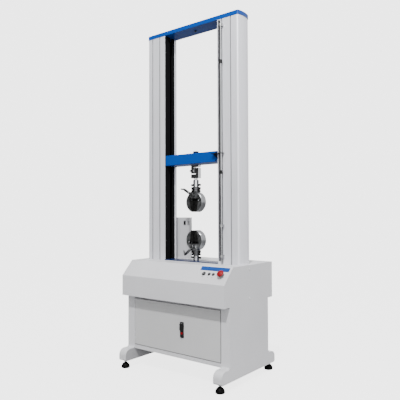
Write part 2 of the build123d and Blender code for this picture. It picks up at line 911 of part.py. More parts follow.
def grip_body():
    """The round grip body with its wedge-shaped pocket, grooves and shank."""
    half = grip_thickness / 2
    radius = grip_diameter / 2
    solid = bar_y(0, 0, -half, half, grip_diameter)
    solid = chamfer(solid.edges().filter_by(GeomType.CIRCLE), 2.5)
    solid -= block(-radius, radius, -half - 1, half + 1, -radius - 1, -grip_flat)
    top = pocket_depth - grip_flat
    low = -radius - 1
    pocket = face_of([
        (-wedge_line(low), low, 0),
        (wedge_line(low), low, 0),
        (wedge_line(top), top, 4),
        (-wedge_line(top), top, 4),
    ])
    solid -= along_y(pocket, -half - 1, half + 1)
    deep = tongue_depth + joint_gap
    groove = face_of([
        (-wedge_line(low) - deep, low, 0),
        (wedge_line(low) + deep, low, 0),
        (wedge_line(top) + deep, top, 0),
        (-wedge_line(top) - deep, top, 0),
    ])
    width = tongue_width / 2 + joint_gap
    solid -= along_y(groove, -width, width)
    seat = radius - 4
    solid += post(0, 0, seat, radius, 52)
    solid += post(0, 0, seat, radius + collar_height + shank_length - 1, shank_diameter)
    pin_z = radius + collar_height + pin_setback
    solid -= bar_x(0, pin_z, -40, 40, pin_diameter + 0.2)
    pivot = lever_pivot_rise
    yoke = face_of([
        (-yoke_width / 2, radius, 0),
        (-9, pivot - 10, 9),
        (9, pivot - 10, 9),
        (yoke_width / 2, radius, 0),
    ])
    solid += along_y(yoke, -half - yoke_depth, -half + 2)
    solid -= bar_y(0, pivot, -half - yoke_depth - 1, -half + 12, pivot_diameter + 2 * running_gap)
    return solid


def grip_jaw(side):
    """A wedge jaw with a toothed face and a guide tongue on its sloping side."""
    half = grip_thickness / 2 - 0.5
    low = -grip_flat - jaw_stand
    high = low + jaw_height
    inner = jaw_gap / 2
    clear = joint_gap
    teeth = int(jaw_height // tooth_pitch)
    points = [(wedge_line(low) - clear, low, 0), (wedge_line(high) - clear, high, 0), (inner, high, 0)]
    for tooth in range(teeth):
        z = high - tooth * tooth_pitch
        points.append((inner + tooth_depth, z - tooth_pitch * 0.5, 0))
        points.append((inner, z - tooth_pitch, 0))
    if points[-1][1] > low + 0.01:
        points.append((inner, low, 0))
    solid = along_y(face_of(points), -half, half)
    tongue = face_of([
        (wedge_line(low) - 2, low, 0),
        (wedge_line(low) - clear + tongue_depth, low, 0),
        (wedge_line(high) - clear + tongue_depth, high, 0),
        (wedge_line(high) - 2, high, 0),
    ])
    solid += along_y(tongue, -tongue_width / 2, tongue_width / 2)
    return solid if side > 0 else mirror(solid, Plane.YZ)


def jaw_pusher():
    """The crossbar above the jaws that the lever drives."""
    low = jaw_height - grip_flat - jaw_stand + joint_gap
    high = low + 5
    half = grip_thickness / 2 - 0.5
    reach = wedge_line(low) - joint_gap - 1.5
    bar = block(-reach, reach, -half, half, low, high)
    return bar


def grip_lever(angle, sense, tip):
    """The lever with its hub and bent end, at an angle seen from the front."""
    pivot = sense * lever_pivot_rise
    front = -grip_thickness / 2 - yoke_depth - joint_gap
    middle = front - 8
    hub = bar_y(0, pivot, front - 16, front, 22)
    hub = chamfer(hub.edges().filter_by(GeomType.CIRCLE), 1.5)
    shaft = bar_y(0, pivot, front - 1, front + yoke_depth + 10, pivot_diameter)
    arm = Cylinder(lever_diameter / 2, lever_length)
    arm = Pos(0, 0, lever_length / 2) * arm
    arm = Pos(0, middle, pivot) * (Rot(0, 90 - angle, 0) * arm)
    radians = math.radians(angle)
    tip_x = lever_length * math.cos(radians)
    tip_z = pivot + lever_length * math.sin(radians)
    elbow = Pos(tip_x, middle, tip_z) * Sphere(lever_diameter / 2)
    end = Pos(0, 0, tip_length / 2) * Cylinder(tip_diameter / 2, tip_length)
    end = fillet(end.edges().filter_by(GeomType.CIRCLE).sort_by(Axis.Z)[-1], 2)
    end = Pos(tip_x, middle, tip_z) * (Rot(*tip) * end)
    return hub + shaft + arm + elbow + end


def grip_parts(z, sense, angle, tip):
    """All pieces of one grip: body, jaws, pusher and lever."""
    body = grip_place(grip_body(), z, sense)
    left = grip_place(grip_jaw(-sense), z, sense)
    right = grip_place(grip_jaw(sense), z, sense)
    pusher = grip_place(jaw_pusher(), z, sense)
    lever = Pos(0, 0, z) * grip_lever(angle, sense, tip)
    return body, left, right, pusher, lever


# Limit rod, ruler and striker


def striker():
    """The bracket on the crosshead that pushes the rod's collars at the ends of travel."""
    front = -crosshead_depth / 2
    right = column_face - lip_thickness - 3
    high = crosshead_top - 16
    plate = face_of([
        (right - 26, high, 0),
        (right, high, 0),
        (right, high - 26, 0),
    ])
    gusset = along_y(plate, front - 4, front)
    reach = rod_x + 15
    arm = block(right - 26, reach, rod_y - 11, front - 4 + joint_gap, high - 3, high)
    slot = rod_diameter / 2 + 1.2
    arm -= block(rod_x - slot, rod_x + slot, rod_y - 12, rod_y, high - 4, high + 1)
    arm -= post(rod_x, rod_y, high - 4, high + 1, 2 * slot)
    arm -= block(column_face - 3, reach + 1, -column_front - 1, 0, high - 4, high + 1)
    return gusset + arm


def limit_rod():
    """The long chromed rod that trips the limit switches."""
    low = beam_low - 18
    high = column_top - 12
    rod = post(rod_x, rod_y, low, high, rod_diameter)
    return chamfer(rod.edges().group_by(Axis.Z)[-1], 1)


def rod_clips():
    """Guide clips that stand off the column's groove."""
    clips = []
    for z in clip_heights:
        front = -column_front
        body = block(rod_x - 4, rod_x + 13, rod_y, front, z - 7, z + 7)
        body += post(rod_x, rod_y, z - 7, z + 7, rod_diameter + 6)
        body -= post(rod_x, rod_y, z - 9, z + 9, rod_diameter + 2 * running_gap)
        clips.append(body)
    return clips


def stop_collar(z):
    """A clamped stop collar on the rod."""
    low = z - stop_collar_height / 2
    high = z + stop_collar_height / 2
    return ring(rod_x, rod_y, low, high, stop_collar_diameter, rod_diameter + 2 * running_gap)


def limit_switches():
    """Two small switches under the table beside the rod's lower end."""
    front = -beam_depth / 2
    low = beam_low + 2
    base = block(rod_x - 34, rod_x - 9, front - 16, front, low, low + 34)
    return base


# Operating panel


def button_bezels():
    """Bezels and barrels of the three push buttons."""
    bezels = []
    for x, diameter in button_spots:
        rim = Pos(0, 0, 1.5) * Cylinder(diameter / 2 + 1, 3)
        rim = chamfer(rim.edges().filter_by(GeomType.CIRCLE).sort_by(Axis.Z)[-1], 1)
        barrel = Pos(0, 0, -12) * Cylinder(diameter / 2 - 1.2, 24)
        hole = Pos(0, 0, 0) * Cylinder(diameter / 2 - 3, 20)
        bezels.append(on_slope(x, button_slope) * (rim + barrel - hole))
    return bezels


def button_cap(x, diameter):
    """A push-button cap, slightly proud of its bezel."""
    radius = diameter / 2 - 3 - joint_gap
    cap = Pos(0, 0, 0.75) * Cylinder(radius, 8.5)
    cap = fillet(cap.edges().filter_by(GeomType.CIRCLE).sort_by(Axis.Z)[-1], 1)
    return on_slope(x, button_slope) * cap


def stop_base():
    """The emergency stop's fixed collar and barrel."""
    rim = Pos(0, 0, 2.5) * Cylinder(15, 5)
    barrel = Pos(0, 0, -16) * Cylinder(11.2, 32)
    hole = Pos(0, 0, 0) * Cylinder(8, 40)
    return on_slope(stop_x, stop_slope) * (rim + barrel - hole)


def stop_stem():
    """The emergency stop's sliding stem."""
    stem = Pos(0, 0, 0) * Cylinder(7.9, 26)
    return on_slope(stop_x, stop_slope) * stem


def stop_head():
    """The red mushroom head, which twists on the stem to release."""
    radius = stop_diameter / 2
    line = Polyline((0, 13.3), (8, 13.3), (9.5, 15), (radius - 2, 17.5), (radius, 20.5))
    dome = ThreePointArc((radius, 20.5), (radius * 0.72, 26), (2, 30))
    back = Polyline((2, 30), (0, 30), (0, 13.3))
    half = make_face([*line.edges(), *dome.edges(), *back.edges()])
    return on_slope(stop_x, stop_slope) * revolve(Plane.XZ * half, Axis.Z)


# Door and its lock


def door_limits():
    """The door's left, right, low and high edges."""
    return (-inner_half + door_gap, inner_half - door_gap, rail_top + 1.5, rail_top + door_rise)


def door():
    """The folded sheet door, open at its back, with notches for the hinge knuckles."""
    left, right, low, high = door_limits()
    front = -cabinet_half
    rear = front + door_depth - joint_gap
    solid = block(left, right, front, rear, low, high)
    t = door_sheet
    solid -= block(left + t, right - t, front + t, rear + 1, low + t, high - t)
    solid -= block(left - 1, left + t + 1, front + 12, rear + 1, low - 1, high + 1)
    for z in hinge_heights():
        solid -= block(left - 1, left + 5, front - 1, front + 6, z - 26, z + 26)
    half = lock_width / 2 - 3
    solid -= block(lock_x - half, lock_x + half, front - 1, front + 5,
                   lock_centre - lock_height / 2 + 5, lock_centre + lock_height / 2 - 5)
    return solid


def hinge_heights():
    """Middles of the two door hinges."""
    left, right, low, high = door_limits()
    return (low + 55, high - 55)


pin_y = 2.5
knuckle_diameter = 4.0
hinge_pin_diameter = 2.0


def door_pivot():
    """The hinge pin's place in plan."""
    left = door_limits()[0]
    return left, -cabinet_half + pin_y


def hinge_frame_halves():
    """The hinge leaves, outer knuckles and pins on the left cheek."""
    x, y = door_pivot()
    halves = []
    for z in hinge_heights():
        leaf = block(-inner_half, -inner_half + 1, y, y + 28, z - 24, z + 24)
        pieces = leaf + post(x, y, z - 24, z + 24, hinge_pin_diameter)
        for low, high in ((z - 24, z - 9), (z + 9, z + 24)):
            pieces += post(x, y, low, high, knuckle_diameter)
            pieces += block(-inner_half, x, y, y + 1.6, low, high)
        halves.append(pieces)
    return halves


def hinge_door_halves():
    """The middle knuckles, on leaves behind the door's skin."""
    x, y = door_pivot()
    halves = []
    skin = -cabinet_half + door_sheet
    for z in hinge_heights():
        knuckle = post(x, y, z - 8.7, z + 8.7, knuckle_diameter)
        leaf = block(x, x + 26, skin, skin + 1.4, z - 8.7, z + 8.7)
        piece = knuckle + leaf
        piece -= post(x, y, z - 20, z + 20, hinge_pin_diameter + 2 * running_gap)
        halves.append(piece)
    return halves


def lock_plate():
    """The lock's black escutcheon on the door."""
    front = -cabinet_half
    half = lock_width / 2
    tall = lock_height / 2
    solid = block(lock_x - half, lock_x + half, front - 4, front, lock_centre - tall, lock_centre + tall)
    solid = fillet(solid.edges().filter_by(Axis.Y), 3)
    inner = half - 3.3
    box = block(lock_x - inner, lock_x + inner, front, front + 14,
                lock_centre - tall + 5.3, lock_centre + tall - 5.3)
    solid += box
    solid -= bar_y(lock_x, lock_centre - lock_button_drop, front - 5, front + 9, lock_button_diameter + 0.6)
    solid -= bar_y(lock_x, lock_centre + lock_spindle_rise, front - 5, front + 15,
                   lock_spindle_diameter + 2 * running_gap)
    return solid


def lock_spindle():
    """The lock's turning spindle with the pinion that throws the bolts."""
    front = -cabinet_half
    z = lock_centre + lock_spindle_rise
    spindle = bar_y(lock_x, z, front - 5, bolt_y - 4, lock_spindle_diameter)
    pinion = bar_y(lock_x, z, bolt_y - 4, bolt_y + 4, 2 * pinion_radius)
    return spindle + pinion


def lock_handle():
    """The swing handle, folded down over the escutcheon."""
    front = -cabinet_half - 5.3
    z = lock_centre + lock_spindle_rise
    half = lock_width / 2 - 2.5
    thick = lock_handle_thickness
    solid = block(lock_x - half, lock_x + half, front - thick, front,
                  z + thick / 2 - lock_handle_length, z + thick / 2)
    solid = fillet(solid.edges().filter_by(Axis.X).group_by(Axis.Z)[-1], thick / 2 - 0.1)
    return fillet(solid.edges().filter_by(Axis.Y).group_by(Axis.Z)[0], 5)


def lock_button():
    """The red push button that frees the handle."""
    front = -cabinet_half
    z = lock_centre - lock_button_drop
    cap = bar_y(lock_x, z, front - 7, front + 5, lock_button_diameter)
    return fillet(cap.edges().filter_by(GeomType.CIRCLE).sort_by(Axis.Y)[0], 1.2)


def lock_bolt(sense):
    """A bolt rod that the pinion drives up or down behind the door."""
    x = bolt_x(sense)
    z = lock_centre + lock_spindle_rise
    upper_end = cover_low - rail_height - 10 - 2
    end = upper_end if sense > 0 else rail_top + 2
    half = bolt_width / 2
    guided = block(x - half, x + half, bolt_y - half, bolt_y + half, z - sense * 14, end)
    return guided


def bolt_guides():
    """Staples behind the door that guide both bolts."""
    left, right, low, high = door_limits()
    skin = -cabinet_half + door_sheet
    staples = []
    reach = bolt_width / 2 + joint_gap
    for sense, z in ((1, high - 45), (-1, low + 45)):
        x = bolt_x(sense)
        outer = block(x - reach - 3, x + reach + 3, skin, bolt_y + reach + 3, z - 8, z + 8)
        staples.append(outer - block(x - reach, x + reach, bolt_y - reach, bolt_y + reach, z - 9, z + 9))
    return staples


# Control box on the table behind the left column


def control_box():
    """The small sheet-steel control box."""
    rear = box_front + box_depth
    high = table_top + box_height
    front = box_front + box_cover_depth
    solid = block(box_left, box_right, front, rear, table_top, high)
    t = box_sheet
    solid -= block(box_left + t, box_right - t, front - 1, rear - t, table_top + t, high - t)
    return solid


def control_box_cover():
    """The control box's flanged front cover with two switch cut-outs and its screws."""
    high = table_top + box_height
    solid = block(box_left, box_right, box_front, box_front + box_cover_depth, table_top, high)
    t = box_cover_sheet
    solid -= block(box_left + t, box_right - t, box_front + t, box_front + box_cover_depth + 1,
                   table_top + t, high - t)
    for x in switch_places():
        wide = switch_width / 2
        tall = switch_height / 2
        solid -= block(x - wide, x + wide, box_front - 1, box_front + 3, switch_z - tall, switch_z + tall)
    return solid




def switch_places():
    """The two rocker switches' places across the door."""
    return (box_left + switch_inset, box_left + switch_inset + switch_pitch)


def switch_frames():
    """The snap-in frames of the two rocker switches."""
    frames = []
    wide = switch_width / 2
    tall = switch_height / 2
    for x in switch_places():
        rim = block(x - wide - 1.5, x + wide + 1.5, box_front - 1.5, box_front,
                    switch_z - tall - 2, switch_z + tall + 2)
        body = block(x - wide, x + wide, box_front, box_front + 7, switch_z - tall, switch_z + tall)
        hole = block(x - wide + 1.5, x + wide - 1.5, box_front - 2, box_front + 5.5,
                     switch_z - tall + 1.5, switch_z + tall - 1.5)
        pivot = bar_x(box_front + 1, switch_z, x - wide + 0.5, x + wide - 0.5,
                      rocker_pin_diameter + 2 * running_gap)
        frames.append(rim + body - hole - pivot)
    return frames


def rocker(x):
    """A rocker switch's cap, tipped on its own middle pin."""
    tall = switch_height / 2 - 3
    wide = switch_width / 2 - 1.5 - joint_gap
    face = face_of([
        (-4.2, tall, 0),
        (-3.2, 0, 0),
        (-4.2, -tall, 0),
        (0, -tall, 0),
        (2, 0, 0),
        (0, tall, 0),
    ])
    cap = Rot(rocker_tilt, 0, 0) * along_x(face, -wide, wide)
    reach = switch_width / 2 - 0.6
    pin = bar_x(0, 0, -reach, reach, rocker_pin_diameter)
    return Pos(x, box_front + 1, switch_z) * (cap + pin)


def build_frame():
    """Write the cabinet, table, columns and what is fixed to them."""
    right_cheek = cheek()
    save("right_cheek", right_cheek - on_slope(stop_x, stop_slope) * Cylinder(12.5, 90))
    save("left_cheek", mirror(right_cheek, Plane.YZ))
    save("frame_fittings", *cheek_bolts(1), *cheek_bolts(-1), *rear_screws(), *foot_nuts(),
         *hinge_frame_halves())
    save("table_cover", table_cover())
    save("base_beam", base_beam(), *lower_bearings())
    save("lower_plate", lower_plate())
    save("cabinet_rails", cabinet_floor(), top_rail())
    save("rear_panel", rear_panel(), *rear_flanges())
    right_column = column()
    save("right_column", right_column)
    save("left_column", half_turn(right_column))
    lips = dust_lips()
    save("dust_lips", *lips, *[half_turn(lip) for lip in lips])
    save("top_plate", top_plate(), *upper_bearings())
    save("timing_belt", timing_belt())
    save("motor_plate", motor_plate())
    save("gear_motor", gearbox(), servo_motor())
    save("guide_rods", *guide_rods())
    save("lower_adapter", adapter(lower_socket_top, plate_top, beam_top - anchor_depth + 1),
         cross_pin(lower_socket_top, -1), lock_ring(lower_socket_top, lower_collar_top))
    save("rod_clips", *rod_clips(), limit_switches())
    save("panel_bezels", *button_bezels(), stop_base())
    save("control_box", control_box())
    save("control_box_cover", control_box_cover(), *switch_frames())


def build_crosshead():
    """Write the crosshead and the load string that hangs from it."""
    save("crosshead_beam", crosshead_beam())
    save("carriages", carriage(1), carriage(-1), *ball_nuts(), *guide_bushes())
    save("load_cell", load_cell(), cable_gland(), cell_bolt())
    save("upper_adapter", adapter(upper_socket_low, stem_low, cell_low + cell_lower_thread),
         cross_pin(upper_socket_low, 1), lock_ring(upper_collar_low, upper_socket_low))
    save("striker", striker())


def build_moving():
    """Write the pieces that turn or slide by themselves."""
    for name, x, y in (("front_left", -1, -1), ("front_right", 1, -1),
                       ("rear_left", -1, 1), ("rear_right", 1, 1)):
        save("foot_" + name, *foot(x * foot_x, y * foot_y))
    for name, side in (("left", -1), ("right", 1)):
        pulley = toothed_pulley(side * screw_x, 0, screw_pulley_radius, 30, journal_low)
        save(name + "_screw", screw_shaft(side), pulley)
    output = post(0, motor_y, motor_plate_low - 28, pulley_low + pulley_height + 8, output_diameter)
    pulley = toothed_pulley(0, motor_y, motor_pulley_radius, 20, output_diameter)
    save("motor_pulley", pulley, output)
    grips = (("upper", upper_grip_z, 1, upper_lever_angle, upper_tip),
             ("lower", lower_grip_z, -1, lower_lever_angle, lower_tip))
    for name, z, sense, angle, tip in grips:
        body, left, right, pusher, lever = grip_parts(z, sense, angle, tip)
        save(name + "_grip_body", body)
        save(name + "_left_jaw", left)
        save(name + "_right_jaw", right)
        save(name + "_jaw_pusher", pusher)
        save(name + "_grip_lever", lever)
    save("limit_rod", limit_rod())
    save("upper_stop_collar", stop_collar(upper_collar_height))
    save("lower_stop_collar", stop_collar(lower_collar_height))
    for number, (x, diameter) in enumerate(button_spots, 1):
        save("button_" + str(number), button_cap(x, diameter))
    save("stop_stem", stop_stem())
    save("stop_head", stop_head())
    save("door", door(), *hinge_door_halves(), *bolt_guides())
    save("lock_plate", lock_plate())
    save("lock_spindle", lock_spindle())
    save("lock_handle", lock_handle())
    save("lock_button", lock_button())
    save("upper_lock_bolt", lock_bolt(1))
    save("lower_lock_bolt", lock_bolt(-1))
    for name, x in zip(("left", "right"), switch_places()):
        save(name + "_rocker", rocker(x))


build_frame()
build_crosshead()
build_moving()
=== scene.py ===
import math

import bmesh
import bpy
from mathutils import Matrix, Vector


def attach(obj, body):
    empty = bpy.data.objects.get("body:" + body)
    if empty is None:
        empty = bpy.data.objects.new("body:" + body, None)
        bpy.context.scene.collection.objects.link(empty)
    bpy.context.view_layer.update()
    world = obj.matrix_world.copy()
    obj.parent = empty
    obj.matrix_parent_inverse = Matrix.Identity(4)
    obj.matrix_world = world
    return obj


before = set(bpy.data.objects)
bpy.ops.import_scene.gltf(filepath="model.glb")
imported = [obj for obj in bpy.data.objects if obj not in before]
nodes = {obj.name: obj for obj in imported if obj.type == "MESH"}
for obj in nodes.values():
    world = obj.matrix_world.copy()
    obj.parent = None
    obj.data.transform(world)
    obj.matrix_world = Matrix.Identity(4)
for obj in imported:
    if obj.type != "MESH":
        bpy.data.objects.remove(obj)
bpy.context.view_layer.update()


# Shaders


class Shader:
    """A material under construction, with short calls for its nodes and links."""

    def __init__(self, name):
        self.material = bpy.data.materials.new(name)
        self.material.use_nodes = True
        self.tree = self.material.node_tree
        self.surface = next(node for node in self.tree.nodes if node.type == "BSDF_PRINCIPLED")
        self.place = self.tree.nodes.new("ShaderNodeTexCoord").outputs["Object"]

    def add(self, kind, inputs=None, **settings):
        """A node with its settings, and its inputs linked or filled in."""
        made = self.tree.nodes.new(kind)
        for key, value in settings.items():
            setattr(made, key, value)
        for key, value in (inputs or {}).items():
            self.feed(made.inputs[key], value)
        return made

    def feed(self, socket, value):
        """A link where the value is a socket, or else the value itself."""
        if isinstance(value, bpy.types.NodeSocket):
            self.tree.links.new(value, socket)
        else:
            socket.default_value = value

    def math(self, operation, *values):
        """The result of a math node."""
        made = self.add("ShaderNodeMath", operation=operation)
        for slot, value in enumerate(values):
            self.feed(made.inputs[slot], value)
        return made.outputs[0]

    def axis(self, letter):
        """One coordinate of the place on the object."""
        return self.add("ShaderNodeSeparateXYZ", {0: self.place}).outputs["XYZ".index(letter)]

    def stretched(self, scale):
        """The place, stretched by a scale for each axis."""
        return self.add("ShaderNodeMapping", {"Vector": self.place, "Scale": scale}).outputs[0]

    def noise(self, scale, detail=3.0, vector=None):
        """A noise value between 0 and 1, mostly near the middle."""
        return self.add("ShaderNodeTexNoise", {"Vector": vector or self.place, "Scale": scale,
                                               "Detail": detail}).outputs["Fac"]

    def span(self, value, low, high, start=0.35, end=0.65):
        """A value carried from one range, by default that of noise, to another."""
        return self.add("ShaderNodeMapRange", {"Value": value, "From Min": start, "From Max": end,
                                               "To Min": low, "To Max": high}).outputs[0]

    def either(self, share, pair):
        """The first number of a pair where the share is 0 and the second where it is 1."""
        first, second = pair
        return first if first == second else self.span(share, first, second, 0.0, 1.0)

    def mix(self, share, first, second):
        """Two colours mixed by a share."""
        made = self.add("ShaderNodeMix", data_type="RGBA")
        self.feed(made.inputs[0], share)
        self.feed(made.inputs[6], first)
        self.feed(made.inputs[7], second)
        return made.outputs[2]

    def clouded(self, colour, share, below, above):
        """A colour that wanders between a darker and a lighter one."""
        return self.mix(self.span(share, 0.0, 1.0), shade(colour, below), shade(colour, above))

    def bump(self, height, strength, distance=0.0003):
        """A bump on the surface."""
        made = self.add("ShaderNodeBump", {"Height": height, "Strength": strength, "Distance": distance})
        self.tree.links.new(made.outputs[0], self.surface.inputs["Normal"])

    def set(self, **values):
        """Sockets of the surface, with spaces written as underscores."""
        for key, value in values.items():
            self.feed(self.surface.inputs[key.replace("_", " ")], value)


def shade(colour, factor=1.0):
    """A colour made lighter or darker, with the alpha that sockets ask for."""
    return tuple(min(1.0, part * factor) for part in colour) + (1.0,)


def orange_peel(paint, low, high):
    """The fine waves of baked paint, and a roughness that wanders between two values."""
    paint.set(Roughness=paint.span(paint.noise(40.0), low, high))
    paint.bump(paint.noise(900.0, 2.0), 0.12, 0.0004)


def powder_coat(name, colour, roughness=0.42, shine=1.0, limits=(), joined="MULTIPLY", painted_shade=1.0):
    """Baked powder paint.

    Where its place passes the limits it is darker by a factor: painted shade. The limits are joined by
    MULTIPLY when all of them have to hold, or by MAXIMUM when one is enough.
    """
    paint = Shader(name)
    coat = paint.clouded(colour, paint.noise(3.0), 0.97, 1.03)
    share = None
    for letter, test, limit in limits:
        passed = paint.math(test, paint.axis(letter), limit)
        share = paint.math(joined, share, passed) if share else passed
    # painted shade, where the place limits hold
    if share:
        coat = paint.mix(share, coat, shade(colour, painted_shade))
    paint.set(Base_Color=coat, Specular_IOR_Level=0.5 * shine, Coat_Weight=0.15 * shine,
              Coat_Roughness=0.25)
    orange_peel(paint, roughness - 0.04, roughness + 0.05)
    return paint.material


def drawn_metal(name, colour, roughness, stretch, grain=60.0, depth=0.1, contrast=0.06):
    """Metal with fine marks drawn out along one direction."""
    metal = Shader(name)
    streak = metal.noise(grain, 4.0, metal.stretched(stretch))
    metal.set(Base_Color=metal.clouded(colour, streak, 1 - contrast, 1 + contrast),
              Metallic=1.0, Roughness=metal.span(streak, roughness - 0.06, roughness + 0.08))
    metal.bump(streak, depth)
    return metal.material


def worn_black(name, colour, rubbed, roughness=0.38):
    """Blackened steel, rubbed lighter where it is handled."""
    metal = Shader(name)
    worn = metal.span(metal.noise(35.0, 5.0), 0.0, 1.0, 0.42, 0.75)
    metal.set(Base_Color=metal.mix(worn, shade(colour), shade(rubbed)), Metallic=0.9,
              Roughness=metal.span(metal.noise(120.0), roughness - 0.08, roughness + 0.1))
    metal.bump(metal.noise(500.0), 0.1)
    return metal.material


def grip_steel(name, centre):
    """Blackened grip faces inside a ground rim, round the height of the grip's centre."""
    metal = Shader(name)
    across = metal.math("POWER", metal.axis("X"), 2.0)
    upward = metal.math("POWER", metal.math("SUBTRACT", metal.axis("Z"), centre), 2.0)
    reach = metal.math("SQRT", metal.math("ADD", across, upward))
    rim = metal.math("GREATER_THAN", reach, GRIP_FACE_RADIUS)
    worn = metal.span(metal.noise(35.0, 5.0), 0.0, 1.0, 0.42, 0.78)
    face = metal.mix(worn, shade(OXIDE_GREY), shade(OXIDE_GREY, 3.2))
    metal.set(Base_Color=metal.mix(rim, face, shade(RIM_STEEL)), Metallic=0.95,
              Roughness=metal.either(rim, (0.34, 0.28)))
    metal.bump(metal.noise(500.0), 0.1)
    return metal.material


def switch_cover(name, colour):
    """Painted sheet with a black switch frame and a grey one standing in front of it."""
    paint = Shader(name)
    standing = paint.math("LESS_THAN", paint.axis("Y"), SWITCH_FRAME_BACK)
    second = paint.math("GREATER_THAN", paint.axis("X"), SWITCH_MIDDLE)
    frames = paint.mix(second, shade(BLACK), shade(SWITCH_FRAME_GREY))
    sheet = paint.clouded(colour, paint.noise(3.0), 0.97, 1.03)
    paint.set(Base_Color=paint.mix(standing, sheet, frames))
    orange_peel(paint, 0.4, 0.5)
    return paint.material


def anodising_with_painted_shade(name, colour):
    """Drawn aluminium, silver outside, with painted shade darkening its grooves and black painted shade in
    its inner cavity.
    """
    metal = Shader(name)
    streak = metal.noise(220.0, 4.0, metal.stretched((1.0, 1.0, 0.02)))
    across = metal.math("ABSOLUTE", metal.axis("X"))
    deep = metal.math("ABSOLUTE", metal.axis("Y"))
    cavity_shade = metal.math("MULTIPLY", metal.math("COMPARE", across, *HOLLOW_MIDDLE_AND_REACH),
                        metal.math("LESS_THAN", deep, HOLLOW_HALF_DEPTH))
    groove_shade = metal.math("MULTIPLY", metal.math("COMPARE", deep, *GROOVE_MIDDLE_AND_REACH),
                        metal.math("LESS_THAN", across, GROOVED_TO))
    silver = metal.clouded(colour, streak, 0.97, 1.03)
    # painted shade: the grooves darkened to 0.3 of the silver
    silver = metal.mix(groove_shade, silver, shade(colour, 0.3))
    # painted shade: the inner cavity black and not metallic
    metal.set(Base_Color=metal.mix(cavity_shade, silver, shade(BLACK, 0.3)),
              Metallic=metal.either(cavity_shade, (0.35, 0.0)),
              Roughness=metal.span(streak, 0.44, 0.58))
    metal.bump(streak, 0.05)
    return metal.material


def moulded(name, colour, roughness, grain=700.0, shine=0.25):
    """Moulded plastic or rubber with a fine matt grain."""
    plastic = Shader(name)
    plastic.set(Base_Color=plastic.clouded(colour, plastic.noise(25.0), 0.9, 1.15),
                Roughness=plastic.span(plastic.noise(80.0), roughness - 0.05, roughness + 0.06),
                Specular_IOR_Level=shine)
    plastic.bump(plastic.noise(grain, 2.0), 0.15)
    return plastic.material


def threaded(name, colour, centre, pitch):
    """A ball screw's rolled thread, wound round its axis at x = centre."""
    metal = Shader(name)
    turn = metal.math("ARCTAN2", metal.axis("Y"), metal.math("SUBTRACT", metal.axis("X"), centre))
    phase = metal.math("ADD", metal.math("DIVIDE", turn, 2 * math.pi),
                       metal.math("DIVIDE", metal.axis("Z"), pitch))
    ridge = metal.math("ABSOLUTE", metal.math("SUBTRACT", metal.math("FRACT", phase), 0.5))
    crest = metal.span(ridge, 0.0, 1.0, 0.1, 0.3)
    metal.set(Base_Color=metal.mix(crest, shade(colour, 0.35), shade(colour)), Metallic=1.0, Roughness=0.25)
    metal.bump(ridge, 0.6, 0.003)
    return metal.material


def split(name, axis, limit, below, above, metallic, roughness, edge=0.0):
    """One finish below a place along an axis and another above it.

    Polished pieces are darker by a share towards the edges that turn away from view: a painted reflection.
    """
    both = Shader(name)
    side = both.math("GREATER_THAN", both.axis(axis), limit)
    tone = both.span(both.noise(60.0, 4.0), 0.92, 1.06)
    # painted reflection: darker towards the edges that turn away from view
    if edge:
        away = both.add("ShaderNodeLayerWeight").outputs["Facing"]
        tone = both.math("MULTIPLY", tone, both.span(away, 1.0, 1.0 - edge, 0.08, 0.26))
    colour = both.mix(side, shade(below), shade(above))
    toned = both.add("ShaderNodeVectorMath", {0: colour, "Scale": tone}, operation="SCALE")
    both.set(Base_Color=toned.outputs[0], Metallic=both.either(side, metallic),
             Roughness=both.either(side, roughness))
    both.bump(both.noise(400.0), 0.08)
    return both.material


# Places on the CAD pieces, in metres

GRIP_HEIGHT = {"upper": 0.9865, "lower": 0.7590}
GRIP_FACE_RADIUS = 0.0584
GRIP_FACE = 0.0215
BALL_SCREW_OFFSET = 0.288
BALL_SCREW_LEAD = 0.010
# Places of the column's inner cavity and grooves, which carry painted shade
HOLLOW_MIDDLE_AND_REACH = (0.2725, 0.069)
HOLLOW_HALF_DEPTH = 0.0485
GROOVE_MIDDLE_AND_REACH = (0.0512, 0.0026)
GROOVED_TO = 0.330
SWITCH_FRAME_BACK = 0.0998
SWITCH_MIDDLE = -0.156
# Limits of the painted shade under the left cheek's tray, the painted shadow under the cover on the right
# cheek and the painted gap shade round the door
LEFT_CHEEK_INSIDE = -0.3206
LEFT_CHEEK_LOW = 0.128
RIGHT_CHEEK_FRONT = -0.1955
RIGHT_CHEEK_HIGH = 0.4215
RIGHT_CHEEK_OUTSIDE = 0.3740
DOOR_RIGHT_EDGE = 0.3150
DOOR_BOTTOM_EDGE = 0.1370
FOOT_NUTS_TOP = 0.11
STOP_SIDE = 0.300
CELL_MOUNT = 1.2745
UPPER_SOCKET_FOOT = 1.0763
LOWER_SOCKET_HEAD = 0.6691

# Colours, as linear light

HOUSING_GREY = (0.56, 0.56, 0.58)
DOOR_GREY = (0.48, 0.48, 0.485)
# the housing grey darkened as painted shade, for the control box and its cover
BOX_GREY_WITH_PAINTED_SHADE = (0.44, 0.44, 0.455)
MACHINE_BLUE = (0.0008, 0.044, 0.25)
